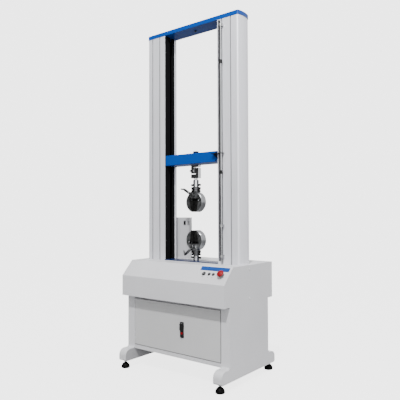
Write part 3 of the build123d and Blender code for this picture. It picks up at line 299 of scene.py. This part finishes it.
# blue darkened as painted shade along the lower plate's edge
PLATE_BLUE_WITH_PAINTED_SHADE = (0.0008, 0.009, 0.055)
STRIP_BLUE = (0.001, 0.044, 0.22)
STOP_RED = (0.20, 0.0015, 0.005)
COLUMN_SILVER = (0.725, 0.73, 0.775)
STEEL = (0.56, 0.57, 0.58)
ROD_STEEL = (0.42, 0.425, 0.435)
CELL_STEEL = (0.50, 0.505, 0.515)
RIM_STEEL = (0.24, 0.245, 0.255)
PIN_STEEL = (0.10, 0.10, 0.105)
RULE_STEEL = (0.16, 0.16, 0.175)
SCREW_STEEL = (0.62, 0.63, 0.65)
CHROME = (0.72, 0.73, 0.75)
CLIP_GREY = (0.40, 0.405, 0.41)
OXIDE_GREY = (0.125, 0.128, 0.130)
COLLAR_GREY = (0.30, 0.30, 0.305)
SWITCH_GREY = (0.16, 0.16, 0.165)
SWITCH_FRAME_GREY = (0.14, 0.14, 0.145)
CAP_GREY = (0.07, 0.07, 0.073)
MARK_GREY = (0.16, 0.16, 0.165)
TICK_GREY = (0.26, 0.26, 0.27)
BLACK = (0.006, 0.006, 0.0065)
LEVER_BLACK = (0.06, 0.061, 0.062)
LEVER_RUBBED = (0.14, 0.14, 0.143)
JAW_BLACK = (0.016, 0.016, 0.016)
JAW_RUBBED = (0.05, 0.05, 0.048)
SCREW_BLACK = (0.02, 0.02, 0.022)
SCREW_RUBBED = (0.08, 0.08, 0.085)
CELL_BLACK = (0.03, 0.03, 0.032)
MOTOR_BLACK = (0.02, 0.02, 0.022)
BELT_BLACK = (0.01, 0.01, 0.01)
LIP_BLACK = (0.003, 0.003, 0.0035)
FOOT_BLACK = (0.002, 0.002, 0.002)

# Finishes

housing_paint = powder_coat("housing_paint", HOUSING_GREY)
# Left cheek: painted shade on its inner face below the cabinet tray
left_cheek_paint_and_painted_shade = powder_coat(
    "left_cheek_paint_and_painted_shade", HOUSING_GREY, painted_shade=0.6,
    limits=(("X", "GREATER_THAN", LEFT_CHEEK_INSIDE), ("Z", "LESS_THAN", LEFT_CHEEK_LOW)))
# Right cheek: a painted shadow band on its front, just under the cover's edge
right_cheek_paint_and_painted_shadow = powder_coat(
    "right_cheek_paint_and_painted_shadow", HOUSING_GREY, painted_shade=0.3,
    limits=(("Y", "LESS_THAN", RIGHT_CHEEK_FRONT), ("Z", "GREATER_THAN", RIGHT_CHEEK_HIGH),
            ("X", "LESS_THAN", RIGHT_CHEEK_OUTSIDE)))
# Door: painted shade of the gap along its right and bottom edges
door_paint_and_painted_gap_shade = powder_coat(
    "door_paint_and_painted_gap_shade", DOOR_GREY, joined="MAXIMUM", painted_shade=0.4,
    limits=(("X", "GREATER_THAN", DOOR_RIGHT_EDGE), ("Z", "LESS_THAN", DOOR_BOTTOM_EDGE)))
blue_paint = powder_coat("blue_paint", MACHINE_BLUE, roughness=0.35, shine=0.35)
# The control box and its cover are darker than the housing: painted shade
box_paint_with_painted_shade = powder_coat("box_paint_with_painted_shade", BOX_GREY_WITH_PAINTED_SHADE)
cover_paint_with_painted_shade = switch_cover("switch_cover", BOX_GREY_WITH_PAINTED_SHADE)
motor_enamel = powder_coat("motor_enamel", MOTOR_BLACK, roughness=0.4)
plate_enamel_with_painted_shade = moulded("plate_enamel_with_painted_shade", PLATE_BLUE_WITH_PAINTED_SHADE, roughness=0.3)

column_finish = anodising_with_painted_shade("anodising_with_painted_shade", COLUMN_SILVER)
machined = drawn_metal("machined_steel", STEEL, roughness=0.34, stretch=(0.05, 1.0, 1.0), grain=90.0)
ground_rod = drawn_metal("ground_rod", ROD_STEEL, roughness=0.2, stretch=(1.0, 1.0, 0.1),
                         depth=0.03, contrast=0.04)
pin_steel = drawn_metal("pin_steel", PIN_STEEL, roughness=0.32, stretch=(0.2, 0.2, 1.0), grain=120.0,
                        depth=0.04, contrast=0.05)
rule_steel = drawn_metal("rule_steel", RULE_STEEL, roughness=0.45, stretch=(1.0, 1.0, 0.05), grain=150.0,
                         depth=0.05, contrast=0.08)
screw_bright = drawn_metal("screw_bright", SCREW_STEEL, roughness=0.25, stretch=(1.0, 1.0, 0.2), grain=200.0)
cast_clip = drawn_metal("cast_clip", CLIP_GREY, roughness=0.45, stretch=(1.0, 1.0, 1.0), grain=80.0)
left_thread = threaded("left_thread", STEEL, -BALL_SCREW_OFFSET, BALL_SCREW_LEAD)
right_thread = threaded("right_thread", STEEL, BALL_SCREW_OFFSET, BALL_SCREW_LEAD)
upper_grip_steel = grip_steel("upper_grip_steel", GRIP_HEIGHT["upper"])
lower_grip_steel = grip_steel("lower_grip_steel", GRIP_HEIGHT["lower"])

lever_finish = worn_black("lever_steel", LEVER_BLACK, rubbed=LEVER_RUBBED, roughness=0.42)
jaw_finish = worn_black("jaw_steel", JAW_BLACK, rubbed=JAW_RUBBED, roughness=0.45)
screw_black = worn_black("screw_black", SCREW_BLACK, rubbed=SCREW_RUBBED)

fittings = split("fittings_finish", "Z", FOOT_NUTS_TOP, STEEL, HOUSING_GREY,
                 metallic=(1.0, 0.0), roughness=(0.34, 0.46))
bezel_finish = split("bezel_finish", "X", STOP_SIDE, BLACK, COLLAR_GREY,
                     metallic=(0.0, 0.0), roughness=(0.4, 0.5))
cell_finish = split("cell_finish", "Z", CELL_MOUNT, CELL_STEEL, CELL_BLACK,
                    metallic=(1.0, 0.9), roughness=(0.2, 0.4))
# The sockets' edge share paints a darker reflection on their turned-away sides
upper_socket = split("upper_socket_finish", "Z", UPPER_SOCKET_FOOT, PIN_STEEL, CHROME,
                     metallic=(1.0, 1.0), roughness=(0.3, 0.15), edge=0.93)
lower_socket = split("lower_socket_finish", "Z", LOWER_SOCKET_HEAD, CHROME, PIN_STEEL,
                     metallic=(1.0, 1.0), roughness=(0.15, 0.3), edge=0.93)

black_plastic = moulded("black_plastic", BLACK, roughness=0.45)
grey_plastic = moulded("grey_plastic", SWITCH_GREY, roughness=0.5)
cap_plastic = moulded("cap_grey", CAP_GREY, roughness=0.35)
stop_plastic = moulded("stop_red", STOP_RED, roughness=0.45, shine=0.2)
strip_film = moulded("strip_blue", STRIP_BLUE, roughness=0.5)
mark_ink = moulded("label_ink", MARK_GREY, roughness=0.6)
tick_ink = moulded("graduation_white", TICK_GREY, roughness=0.6)
lip_rubber = moulded("lip_rubber", LIP_BLACK, roughness=0.9, shine=0.05)
foot_rubber = moulded("foot_rubber", FOOT_BLACK, roughness=0.5, grain=300.0, shine=0.05)
belt_rubber = moulded("belt_rubber", BELT_BLACK, roughness=0.7)

finishes = {
    housing_paint: ["table_cover", "cabinet_rails", "rear_panel"],
    left_cheek_paint_and_painted_shade: ["left_cheek"],
    right_cheek_paint_and_painted_shadow: ["right_cheek"],
    door_paint_and_painted_gap_shade: ["door"],
    blue_paint: ["crosshead_beam", "top_plate"],
    box_paint_with_painted_shade: ["control_box"],
    cover_paint_with_painted_shade: ["control_box_cover"],
    motor_enamel: ["gear_motor"],
    plate_enamel_with_painted_shade: ["lower_plate"],
    column_finish: ["right_column", "left_column"],
    machined: ["base_beam", "motor_plate", "carriages", "motor_pulley", "lock_spindle",
               "upper_lock_bolt", "lower_lock_bolt"],
    ground_rod: ["guide_rods", "limit_rod"],
    cast_clip: ["rod_clips"],
    left_thread: ["left_screw"],
    right_thread: ["right_screw"],
    upper_grip_steel: ["upper_grip_body"],
    lower_grip_steel: ["lower_grip_body"],
    lever_finish: ["upper_grip_lever", "lower_grip_lever"],
    jaw_finish: ["upper_left_jaw", "upper_right_jaw", "upper_jaw_pusher",
                 "lower_left_jaw", "lower_right_jaw", "lower_jaw_pusher"],
    fittings: ["frame_fittings"],
    bezel_finish: ["panel_bezels"],
    cell_finish: ["load_cell"],
    upper_socket: ["upper_adapter"],
    lower_socket: ["lower_adapter"],
    black_plastic: ["striker", "upper_stop_collar", "lower_stop_collar", "lock_plate", "lock_handle",
                    "left_rocker"],
    grey_plastic: ["right_rocker", "stop_stem"],
    cap_plastic: ["button_1", "button_2", "button_3"],
    stop_plastic: ["stop_head", "lock_button"],
    lip_rubber: ["dust_lips"],
    foot_rubber: ["foot_front_left", "foot_front_right", "foot_rear_left", "foot_rear_right"],
    belt_rubber: ["timing_belt"],
}
for finish, names in finishes.items():
    for name in names:
        piece = nodes[name]
        piece.data.materials.clear()
        piece.data.materials.append(finish)


# Repeated shapes, as geometry trees


class Pattern:
    """A geometry tree under construction, with named inputs for its sizes."""

    def __init__(self, name, sizes):
        self.tree = bpy.data.node_groups.new(name, "GeometryNodeTree")
        face = self.tree.interface
        face.new_socket("Geometry", in_out="INPUT", socket_type="NodeSocketGeometry")
        self.keys = {}
        for label, value in sizes.items():
            kind = {int: "NodeSocketInt", float: "NodeSocketFloat", tuple: "NodeSocketVector",
                    bpy.types.Material: "NodeSocketMaterial"}[type(value)]
            self.keys[label] = face.new_socket(label, in_out="INPUT", socket_type=kind).identifier
        face.new_socket("Geometry", in_out="OUTPUT", socket_type="NodeSocketGeometry")
        self.sizes = sizes
        self.entry = self.tree.nodes.new("NodeGroupInput")
        self.exit = self.tree.nodes.new("NodeGroupOutput")

    def given(self, label):
        """A named input's socket inside the tree."""
        return self.entry.outputs[label]

    def add(self, kind, inputs=None, **settings):
        """A node with its settings, and its inputs linked or filled in."""
        made = self.tree.nodes.new(kind)
        for key, value in settings.items():
            setattr(made, key, value)
        for key, value in (inputs or {}).items():
            if isinstance(value, bpy.types.NodeSocket):
                self.tree.links.new(value, made.inputs[key])
            else:
                made.inputs[key].default_value = value
        return made

    def build(self, name, geometry, body, base=None):
        """The finished piece as a plain mesh that rides on a body."""
        real = self.add("GeometryNodeRealizeInstances", {"Geometry": geometry})
        painted = self.add("GeometryNodeSetMaterial", {"Geometry": real.outputs[0],
                                                       "Material": self.given("Finish")})
        self.tree.links.new(painted.outputs[0], self.exit.inputs[0])
        carrier = bpy.data.objects.new(name + "_carrier", base or bpy.data.meshes.new(name + "_points"))
        bpy.context.scene.collection.objects.link(carrier)
        modifier = carrier.modifiers.new("pattern", "NODES")
        modifier.node_group = self.tree
        for label, value in self.sizes.items():
            modifier[self.keys[label]] = value
        seen = carrier.evaluated_get(bpy.context.evaluated_depsgraph_get())
        mesh = bpy.data.meshes.new_from_object(seen)
        mesh.name = name
        bpy.data.objects.remove(carrier)
        return place_piece(name, mesh, body)


def place_piece(name, mesh, body):
    """A mesh as a piece that rides on a body."""
    piece = bpy.data.objects.new(name, mesh)
    bpy.context.scene.collection.objects.link(piece)
    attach(piece, body)
    return piece


def points_mesh(name, places, facing):
    """A mesh of loose points that face one way."""
    mesh = bpy.data.meshes.new(name)
    mesh.from_pydata([tuple(place) for place in places], [], [])
    directions = mesh.attributes.new("facing", "FLOAT_VECTOR", "POINT")
    for item in directions.data:
        item.vector = facing
    return mesh


HEAD_HEIGHT_SHARE = 0.62
KEY_SHARE = 0.55
HEAD_SIDES = 24


def socket_screws(name, places, facing, head, body, finish):
    """Socket-head screws set on a face, each with its hexagonal recess."""
    pattern = Pattern(name, {"Head Radius": head, "Head Height": head * HEAD_HEIGHT_SHARE,
                             "Finish": finish})
    outer = pattern.add("GeometryNodeMeshCylinder", {"Vertices": HEAD_SIDES,
                                                     "Radius": pattern.given("Head Radius"),
                                                     "Depth": pattern.given("Head Height")})
    key = pattern.add("ShaderNodeMath", {0: pattern.given("Head Radius"), 1: KEY_SHARE},
                      operation="MULTIPLY")
    recess = pattern.add("GeometryNodeMeshCylinder", {"Vertices": 6, "Radius": key.outputs[0],
                                                      "Depth": pattern.given("Head Height")})
    lift = pattern.add("ShaderNodeCombineXYZ", {2: pattern.given("Head Height")})
    half = pattern.add("ShaderNodeVectorMath", {0: lift.outputs[0], 1: (0.5, 0.5, 0.5)},
                       operation="MULTIPLY")
    raised = pattern.add("GeometryNodeTransform", {"Geometry": recess.outputs["Mesh"],
                                                   "Translation": half.outputs[0]})
    cut = pattern.add("GeometryNodeMeshBoolean", operation="DIFFERENCE", solver="EXACT")
    pattern.tree.links.new(outer.outputs["Mesh"], cut.inputs["Mesh 1"])
    pattern.tree.links.new(raised.outputs[0], cut.inputs["Mesh 2"])
    seated = pattern.add("GeometryNodeTransform", {"Geometry": cut.outputs["Mesh"],
                                                   "Translation": half.outputs[0]})
    outward = pattern.add("GeometryNodeInputNamedAttribute", {"Name": "facing"}, data_type="FLOAT_VECTOR")
    turn = pattern.add("FunctionNodeAlignRotationToVector", {"Vector": outward.outputs["Attribute"]},
                       axis="Z")
    placed = pattern.add("GeometryNodeInstanceOnPoints", {"Points": pattern.given("Geometry"),
                                                          "Instance": seated.outputs[0],
                                                          "Rotation": turn.outputs[0]})
    return pattern.build(name, placed.outputs[0], body, points_mesh(name, places, facing))


MINOR_TICK_SHARE = 0.55


def scale_ticks(name, corner, length, pitch, size, body, finish):
    """The graduation lines of the travel scale, every fifth one longer."""
    pattern = Pattern(name, {"Count": int(length / pitch), "Pitch": pitch, "Tick": size,
                             "Corner": corner, "Finish": finish})
    step = pattern.add("ShaderNodeCombineXYZ", {2: pattern.given("Pitch")})
    line = pattern.add("GeometryNodeMeshLine", {"Count": pattern.given("Count"),
                                                "Start Location": pattern.given("Corner"),
                                                "Offset": step.outputs[0]})
    tick = pattern.add("GeometryNodeMeshCube", {"Size": pattern.given("Tick")})
    shifted = pattern.add("GeometryNodeTransform", {"Geometry": tick.outputs["Mesh"],
                                                    "Translation": (size[0] / 2, 0.0, 0.0)})
    index = pattern.add("GeometryNodeInputIndex")
    fifth = pattern.add("ShaderNodeMath", {0: index.outputs[0], 1: 5.0}, operation="MODULO")
    major = pattern.add("ShaderNodeMath", {0: fifth.outputs[0], 1: 0.5}, operation="LESS_THAN")
    wide = pattern.add("ShaderNodeMapRange", {"Value": major.outputs[0], "To Min": MINOR_TICK_SHARE,
                                              "To Max": 1.0})
    grow = pattern.add("ShaderNodeCombineXYZ", {0: wide.outputs[0], 1: 1.0, 2: 1.0})
    placed = pattern.add("GeometryNodeInstanceOnPoints", {"Points": line.outputs["Mesh"],
                                                          "Instance": shifted.outputs[0],
                                                          "Scale": grow.outputs[0]})
    return pattern.build(name, placed.outputs[0], body)


KNOB_RADIUS = 0.006
KNOB_LENGTH = 0.011
KNOB_RIDGES = 24
RIDGE_SHARE = 0.16


def knob_knurl(name, centre, body):
    """Straight knurling round the knob of a cross pin, whose axis is X."""
    ridge_size = (KNOB_RADIUS * RIDGE_SHARE, KNOB_RADIUS * RIDGE_SHARE, KNOB_LENGTH)
    pattern = Pattern(name, {"Ridges": KNOB_RIDGES, "Radius": KNOB_RADIUS, "Ridge": ridge_size,
                             "Finish": pin_steel})
    ring = pattern.add("GeometryNodeMeshCircle", {"Vertices": pattern.given("Ridges"),
                                                  "Radius": pattern.given("Radius")})
    ridge = pattern.add("GeometryNodeMeshCube", {"Size": pattern.given("Ridge")})
    on_edge = pattern.add("GeometryNodeTransform", {"Geometry": ridge.outputs["Mesh"],
                                                    "Rotation": (0.0, 0.0, math.pi / 4)})
    place = pattern.add("GeometryNodeInputPosition")
    outward = pattern.add("FunctionNodeAlignRotationToVector", {"Vector": place.outputs[0]}, axis="X")
    set_round = pattern.add("GeometryNodeInstanceOnPoints", {"Points": ring.outputs["Mesh"],
                                                             "Instance": on_edge.outputs[0],
                                                             "Rotation": outward.outputs[0]})
    moved = pattern.add("GeometryNodeTransform", {"Geometry": set_round.outputs[0],
                                                  "Rotation": (0.0, math.pi / 2, 0.0),
                                                  "Translation": centre})
    return pattern.build(name, moved.outputs[0], body)


# Single shapes


CORNER_STEPS = 8
CORNERS = ((1, 1, 0), (-1, 1, 90), (-1, -1, 180), (1, -1, 270))


def plate_mesh(name, width, height, thickness, radius, place, finish, body):
    """A thin plate with rounded corners and softened edges, laid at a place."""
    mesh = bmesh.new()
    outline = []
    for right, up, start in CORNERS:
        for step in range(CORNER_STEPS + 1):
            angle = math.radians(start + 90 * step / CORNER_STEPS)
            outline.append(mesh.verts.new((right * (width / 2 - radius) + radius * math.cos(angle),
                                           up * (height / 2 - radius) + radius * math.sin(angle), 0)))
    raised = bmesh.ops.extrude_face_region(mesh, geom=[mesh.faces.new(outline)])
    lifted = [item for item in raised["geom"] if isinstance(item, bmesh.types.BMVert)]
    bmesh.ops.translate(mesh, verts=lifted, vec=(0, 0, thickness))
    bmesh.ops.recalc_face_normals(mesh, faces=mesh.faces)
    rim = [edge for edge in mesh.edges if all(vert in lifted for vert in edge.verts)]
    bmesh.ops.bevel(mesh, geom=rim, offset=thickness * 0.4, segments=2, affect="EDGES")
    return lay_mesh(name, mesh, place, finish, body)


LEVER_PIVOT = {"upper": 1.0265, "lower": 0.7190}
LEVER_ANGLE = {"upper": 150.0, "lower": 219.0}
LEVER_PLANE = -0.0348
SLEEVE_RADIUS = 0.0076
SLEEVE_LENGTH = 0.056
SLEEVE_MIDDLE = 0.042


def lever_sleeve(name, pivot, angle, body):
    """The thicker hand sleeve round the arm of a grip lever."""
    mesh = bmesh.new()
    bmesh.ops.create_cone(mesh, cap_ends=True, segments=32, radius1=SLEEVE_RADIUS, radius2=SLEEVE_RADIUS,
                          depth=SLEEVE_LENGTH)
    rims = [edge for edge in mesh.edges if edge.verts[0].co.z * edge.verts[1].co.z > 0]
    bmesh.ops.bevel(mesh, geom=rims, offset=0.0015, segments=2, affect="EDGES")
    for face in mesh.faces:
        face.smooth = abs(face.normal.z) < 0.5
    place = (Matrix.Translation((0, LEVER_PLANE, pivot)) @ Matrix.Rotation(math.radians(90 - angle), 4, "Y")
             @ Matrix.Translation((0, 0, SLEEVE_MIDDLE)))
    return lay_mesh(name, mesh, place, lever_finish, body)


def lay_mesh(name, mesh, place, finish, body):
    """A finished shape, laid at a place and painted, as a piece."""
    data = bpy.data.meshes.new(name)
    mesh.to_mesh(data)
    mesh.free()
    data.transform(place)
    data.materials.append(finish)
    return place_piece(name, data, body)


SLOPE_FOOT_Y, SLOPE_FOOT_Z = -0.245, 0.548
SLOPE_RUN, SLOPE_RISE = 0.081, 0.086


def on_slope(x, along):
    """A place on the sloping panel, across it and up it from its foot."""
    length = math.hypot(SLOPE_RUN, SLOPE_RISE)
    back, up = SLOPE_RUN / length, SLOPE_RISE / length
    matrix = Matrix(((1, 0, 0), (0, back, up), (0, -up, back))).transposed().to_4x4()
    matrix.translation = (x, SLOPE_FOOT_Y + along * back, SLOPE_FOOT_Z + along * up)
    return matrix


FACING_FRONT = Matrix(((1, 0, 0), (0, 0, 1), (0, -1, 0))).transposed().to_4x4()
FACING_REAR = Matrix(((-1, 0, 0), (0, 0, 1), (0, 1, 0))).transposed().to_4x4()


def on_face(facing, x, y, z):
    """A place on a face that looks forwards or to the rear."""
    matrix = facing.copy()
    matrix.translation = (x, y, z)
    return matrix


# Panel and travel scale

STRIP_MIDDLE = (0.2695, 0.0985)
MARKS = ((0.2115, 0.011), (0.2475, 0.007), (0.2750, 0.007), (0.3315, 0.012))  # middle and width
MARKS_ALONG = 0.043
SCALE_MIDDLE = (0.2125, -0.054, 1.335)
TICKS_FOOT = (0.2065, -0.05485, 0.652)
TICK_SIZE = (0.0075, 0.0003, 0.0009)

plate_mesh("panel_strip", width=0.188, height=0.026, thickness=0.001, radius=0.002,
           place=on_slope(*STRIP_MIDDLE), finish=strip_film, body="frame")
for number, (x, width) in enumerate(MARKS, 1):
    plate_mesh("panel_mark_%d" % number, width=width, height=0.0022, thickness=0.0002, radius=0.0005,
               place=on_slope(x, MARKS_ALONG), finish=mark_ink, body="frame")

plate_mesh("travel_scale", width=0.0135, height=1.370, thickness=0.0008, radius=0.001,
           place=on_face(FACING_FRONT, *SCALE_MIDDLE), finish=rule_steel, body="frame")
scale_ticks("travel_scale_ticks", corner=TICKS_FOOT, length=1.366, pitch=0.005, size=TICK_SIZE,
            body="frame", finish=tick_ink)

# Screws

FORWARDS, REARWARDS, UPWARDS, DOWNWARDS = (0, -1, 0), (0, 1, 0), (0, 0, 1), (0, 0, -1)
CROSSHEAD_SCREWS = [(0.188, -0.052, z) for z in (1.266, 1.221)]
PLATE_SCREWS = [(side * x, y, 2.040) for side in (-1, 1) for x in (0.222, 0.322) for y in (-0.034, 0.034)]
BOX_SCREWS = [(-0.237, 0.100, z) for z in (0.861, 0.668)]

socket_screws("crosshead_screws", CROSSHEAD_SCREWS, FORWARDS, head=0.0045,
              body="crosshead", finish=screw_black)
socket_screws("head_plate_screws", PLATE_SCREWS, UPWARDS, head=0.0075,
              body="frame", finish=screw_bright)
socket_screws("head_eye_screw", [(0.0, 0.0, 2.026)], DOWNWARDS, head=0.0075,
              body="frame", finish=screw_black)
socket_screws("control_box_screws", BOX_SCREWS, FORWARDS, head=0.003,
              body="frame", finish=screw_bright)
socket_screws("grip_screws", [(-0.036, -GRIP_FACE, 0.748)], FORWARDS, head=0.004,
              body="frame", finish=screw_bright)
socket_screws("upper_grip_screws", [(0.036, -GRIP_FACE, 0.998)], FORWARDS, head=0.004,
              body="crosshead", finish=screw_bright)

# Grips

KEEPER_THICKNESS = 0.003
KEEPER_SCREW_OFFSET = 0.040
KNOB_OFFSET = 0.0275

for word, height, body in (("upper", 1.0015, "crosshead"), ("lower", 0.744, "frame")):
    plate_mesh(word + "_grip_keeper", width=0.088, height=0.024, thickness=KEEPER_THICKNESS, radius=0.004,
               place=on_face(FACING_REAR, 0, GRIP_FACE, height), finish=jaw_finish, body=body)
    places = [(side * KEEPER_SCREW_OFFSET, GRIP_FACE + KEEPER_THICKNESS, height) for side in (-1, 1)]
    socket_screws(word + "_keeper_screws", places, REARWARDS, head=0.003, body=body, finish=screw_black)
for word in ("upper", "lower"):
    lever_sleeve(word + "_lever_sleeve", LEVER_PIVOT[word], LEVER_ANGLE[word], word + "_grip_lever")
for side, word in ((-1, "left"), (1, "right")):
    knob_knurl("upper_pin_knurl_" + word, (side * KNOB_OFFSET, 0.0, 1.0895), "crosshead")
    knob_knurl("lower_pin_knurl_" + word, (side * KNOB_OFFSET, 0.0, 0.656), "frame")


# Floor, light and camera

FLOOR_REACH = 30
FLOOR_GLOW = 3.2
EVEN_LIGHT = 1.3
BACKDROP = 4.55
SOFT_AREAS = (
    # direction, full to this angle, gone at this angle, factor
    ((-0.789, -0.614, 0.0), 36, 56, 0.03),
    ((0.614, -0.789, 0.0), 16, 40, 2.2),
    ((0.966, 0.257, 0.0), 8, 22, 0.12),
    ((0.80, 0.45, 0.40), 10, 70, 1.4),
)


def studio_floor():
    """A plain pale floor, lit up for the camera only, to match the backdrop."""
    paint = Shader("floor_paint")
    directly = paint.add("ShaderNodeLightPath").outputs["Is Camera Ray"]
    paint.set(Base_Color=(0.25, 0.25, 0.252, 1.0), Emission_Color=(1.0, 1.0, 1.0, 1.0),
              Emission_Strength=paint.math("MULTIPLY", directly, FLOOR_GLOW),
              Roughness=paint.span(paint.noise(2.0), 0.75, 0.85))
    mesh = bpy.data.meshes.new("floor")
    far = FLOOR_REACH
    mesh.from_pydata([(-far, -far, 0), (far, -far, 0), (far, far, 0), (-far, far, 0)], [], [(0, 1, 2, 3)])
    mesh.materials.append(paint.material)
    floor = bpy.data.objects.new("floor", mesh)
    bpy.context.scene.collection.objects.link(floor)


def studio_world(even, seen, areas):
    """Soft light from all round with brighter and darker areas, and an even backdrop."""
    world = bpy.data.worlds.new("studio")
    world.use_nodes = True
    tree = world.node_tree
    output = next(node for node in tree.nodes if node.type == "OUTPUT_WORLD")
    soft = next(node for node in tree.nodes if node.type == "BACKGROUND")
    direction = tree.nodes.new("ShaderNodeTexCoord").outputs["Generated"]
    strength = even
    for toward, inner, outer, factor in areas:
        facing = tree.nodes.new("ShaderNodeVectorMath")
        facing.operation = "DOT_PRODUCT"
        tree.links.new(direction, facing.inputs[0])
        facing.inputs[1].default_value = Vector(toward).normalized()
        reach = tree.nodes.new("ShaderNodeMapRange")
        reach.interpolation_type = "SMOOTHSTEP"
        tree.links.new(facing.outputs["Value"], reach.inputs["Value"])
        reach.inputs["From Min"].default_value = math.cos(math.radians(outer))
        reach.inputs["From Max"].default_value = math.cos(math.radians(inner))
        reach.inputs["To Min"].default_value = 1.0
        reach.inputs["To Max"].default_value = factor
        product = tree.nodes.new("ShaderNodeMath")
        product.operation = "MULTIPLY"
        tree.links.new(reach.outputs[0], product.inputs[0])
        if isinstance(strength, float):
            product.inputs[1].default_value = strength
        else:
            tree.links.new(strength, product.inputs[1])
        strength = product.outputs[0]
    soft.inputs["Color"].default_value = (1.0, 1.0, 1.0, 1.0)
    tree.links.new(strength, soft.inputs["Strength"])
    backdrop = tree.nodes.new("ShaderNodeBackground")
    backdrop.inputs["Strength"].default_value = seen
    path = tree.nodes.new("ShaderNodeLightPath")
    mix = tree.nodes.new("ShaderNodeMixShader")
    tree.links.new(path.outputs["Is Camera Ray"], mix.inputs[0])
    tree.links.new(soft.outputs[0], mix.inputs[1])
    tree.links.new(backdrop.outputs[0], mix.inputs[2])
    tree.links.new(mix.outputs[0], output.inputs["Surface"])
    bpy.context.scene.world = world


def soft_light(name, place, aim, size, power):
    """A square lamp that looks at a place."""
    lamp = bpy.data.lights.new(name, "AREA")
    lamp.shape = "SQUARE"
    lamp.size = size
    lamp.energy = power
    holder = bpy.data.objects.new(name, lamp)
    holder.location = place
    holder.rotation_euler = (Vector(aim) - Vector(place)).to_track_quat("-Z", "Y").to_euler()
    bpy.context.scene.collection.objects.link(holder)


CAMERA_PLACE = (1.81291, -2.29190, 0.91459)
CAMERA_YAW, CAMERA_PITCH, CAMERA_ROLL = 37.88, 1.66, -0.18
FOCAL_PIXELS = 486.98
PICTURE_PIXELS = 400
SENSOR_WIDTH = 36


def photo_camera():
    """The camera at the photograph's viewing angle."""
    yaw, pitch, roll = (math.radians(angle) for angle in (CAMERA_YAW, CAMERA_PITCH, CAMERA_ROLL))
    forward = Vector((-math.sin(yaw) * math.cos(pitch), math.cos(yaw) * math.cos(pitch), math.sin(pitch)))
    level = Vector((math.cos(yaw), math.sin(yaw), 0))
    above = level.cross(forward)
    side = level * math.cos(roll) + above * math.sin(roll)
    top = above * math.cos(roll) - level * math.sin(roll)
    data = bpy.data.cameras.new("camera")
    data.sensor_width = SENSOR_WIDTH
    data.lens = FOCAL_PIXELS * SENSOR_WIDTH / PICTURE_PIXELS
    camera = bpy.data.objects.new("camera", data)
    pose = Matrix((side, top, -forward)).transposed().to_4x4()
    pose.translation = CAMERA_PLACE
    camera.matrix_world = pose
    bpy.context.scene.collection.objects.link(camera)
    bpy.context.scene.camera = camera


studio_floor()
studio_world(EVEN_LIGHT, BACKDROP, SOFT_AREAS)
soft_light("key_light", place=(1.57, -2.65, 4.42), aim=(0, 0, 0.8), size=0.25, power=330)
photo_camera()
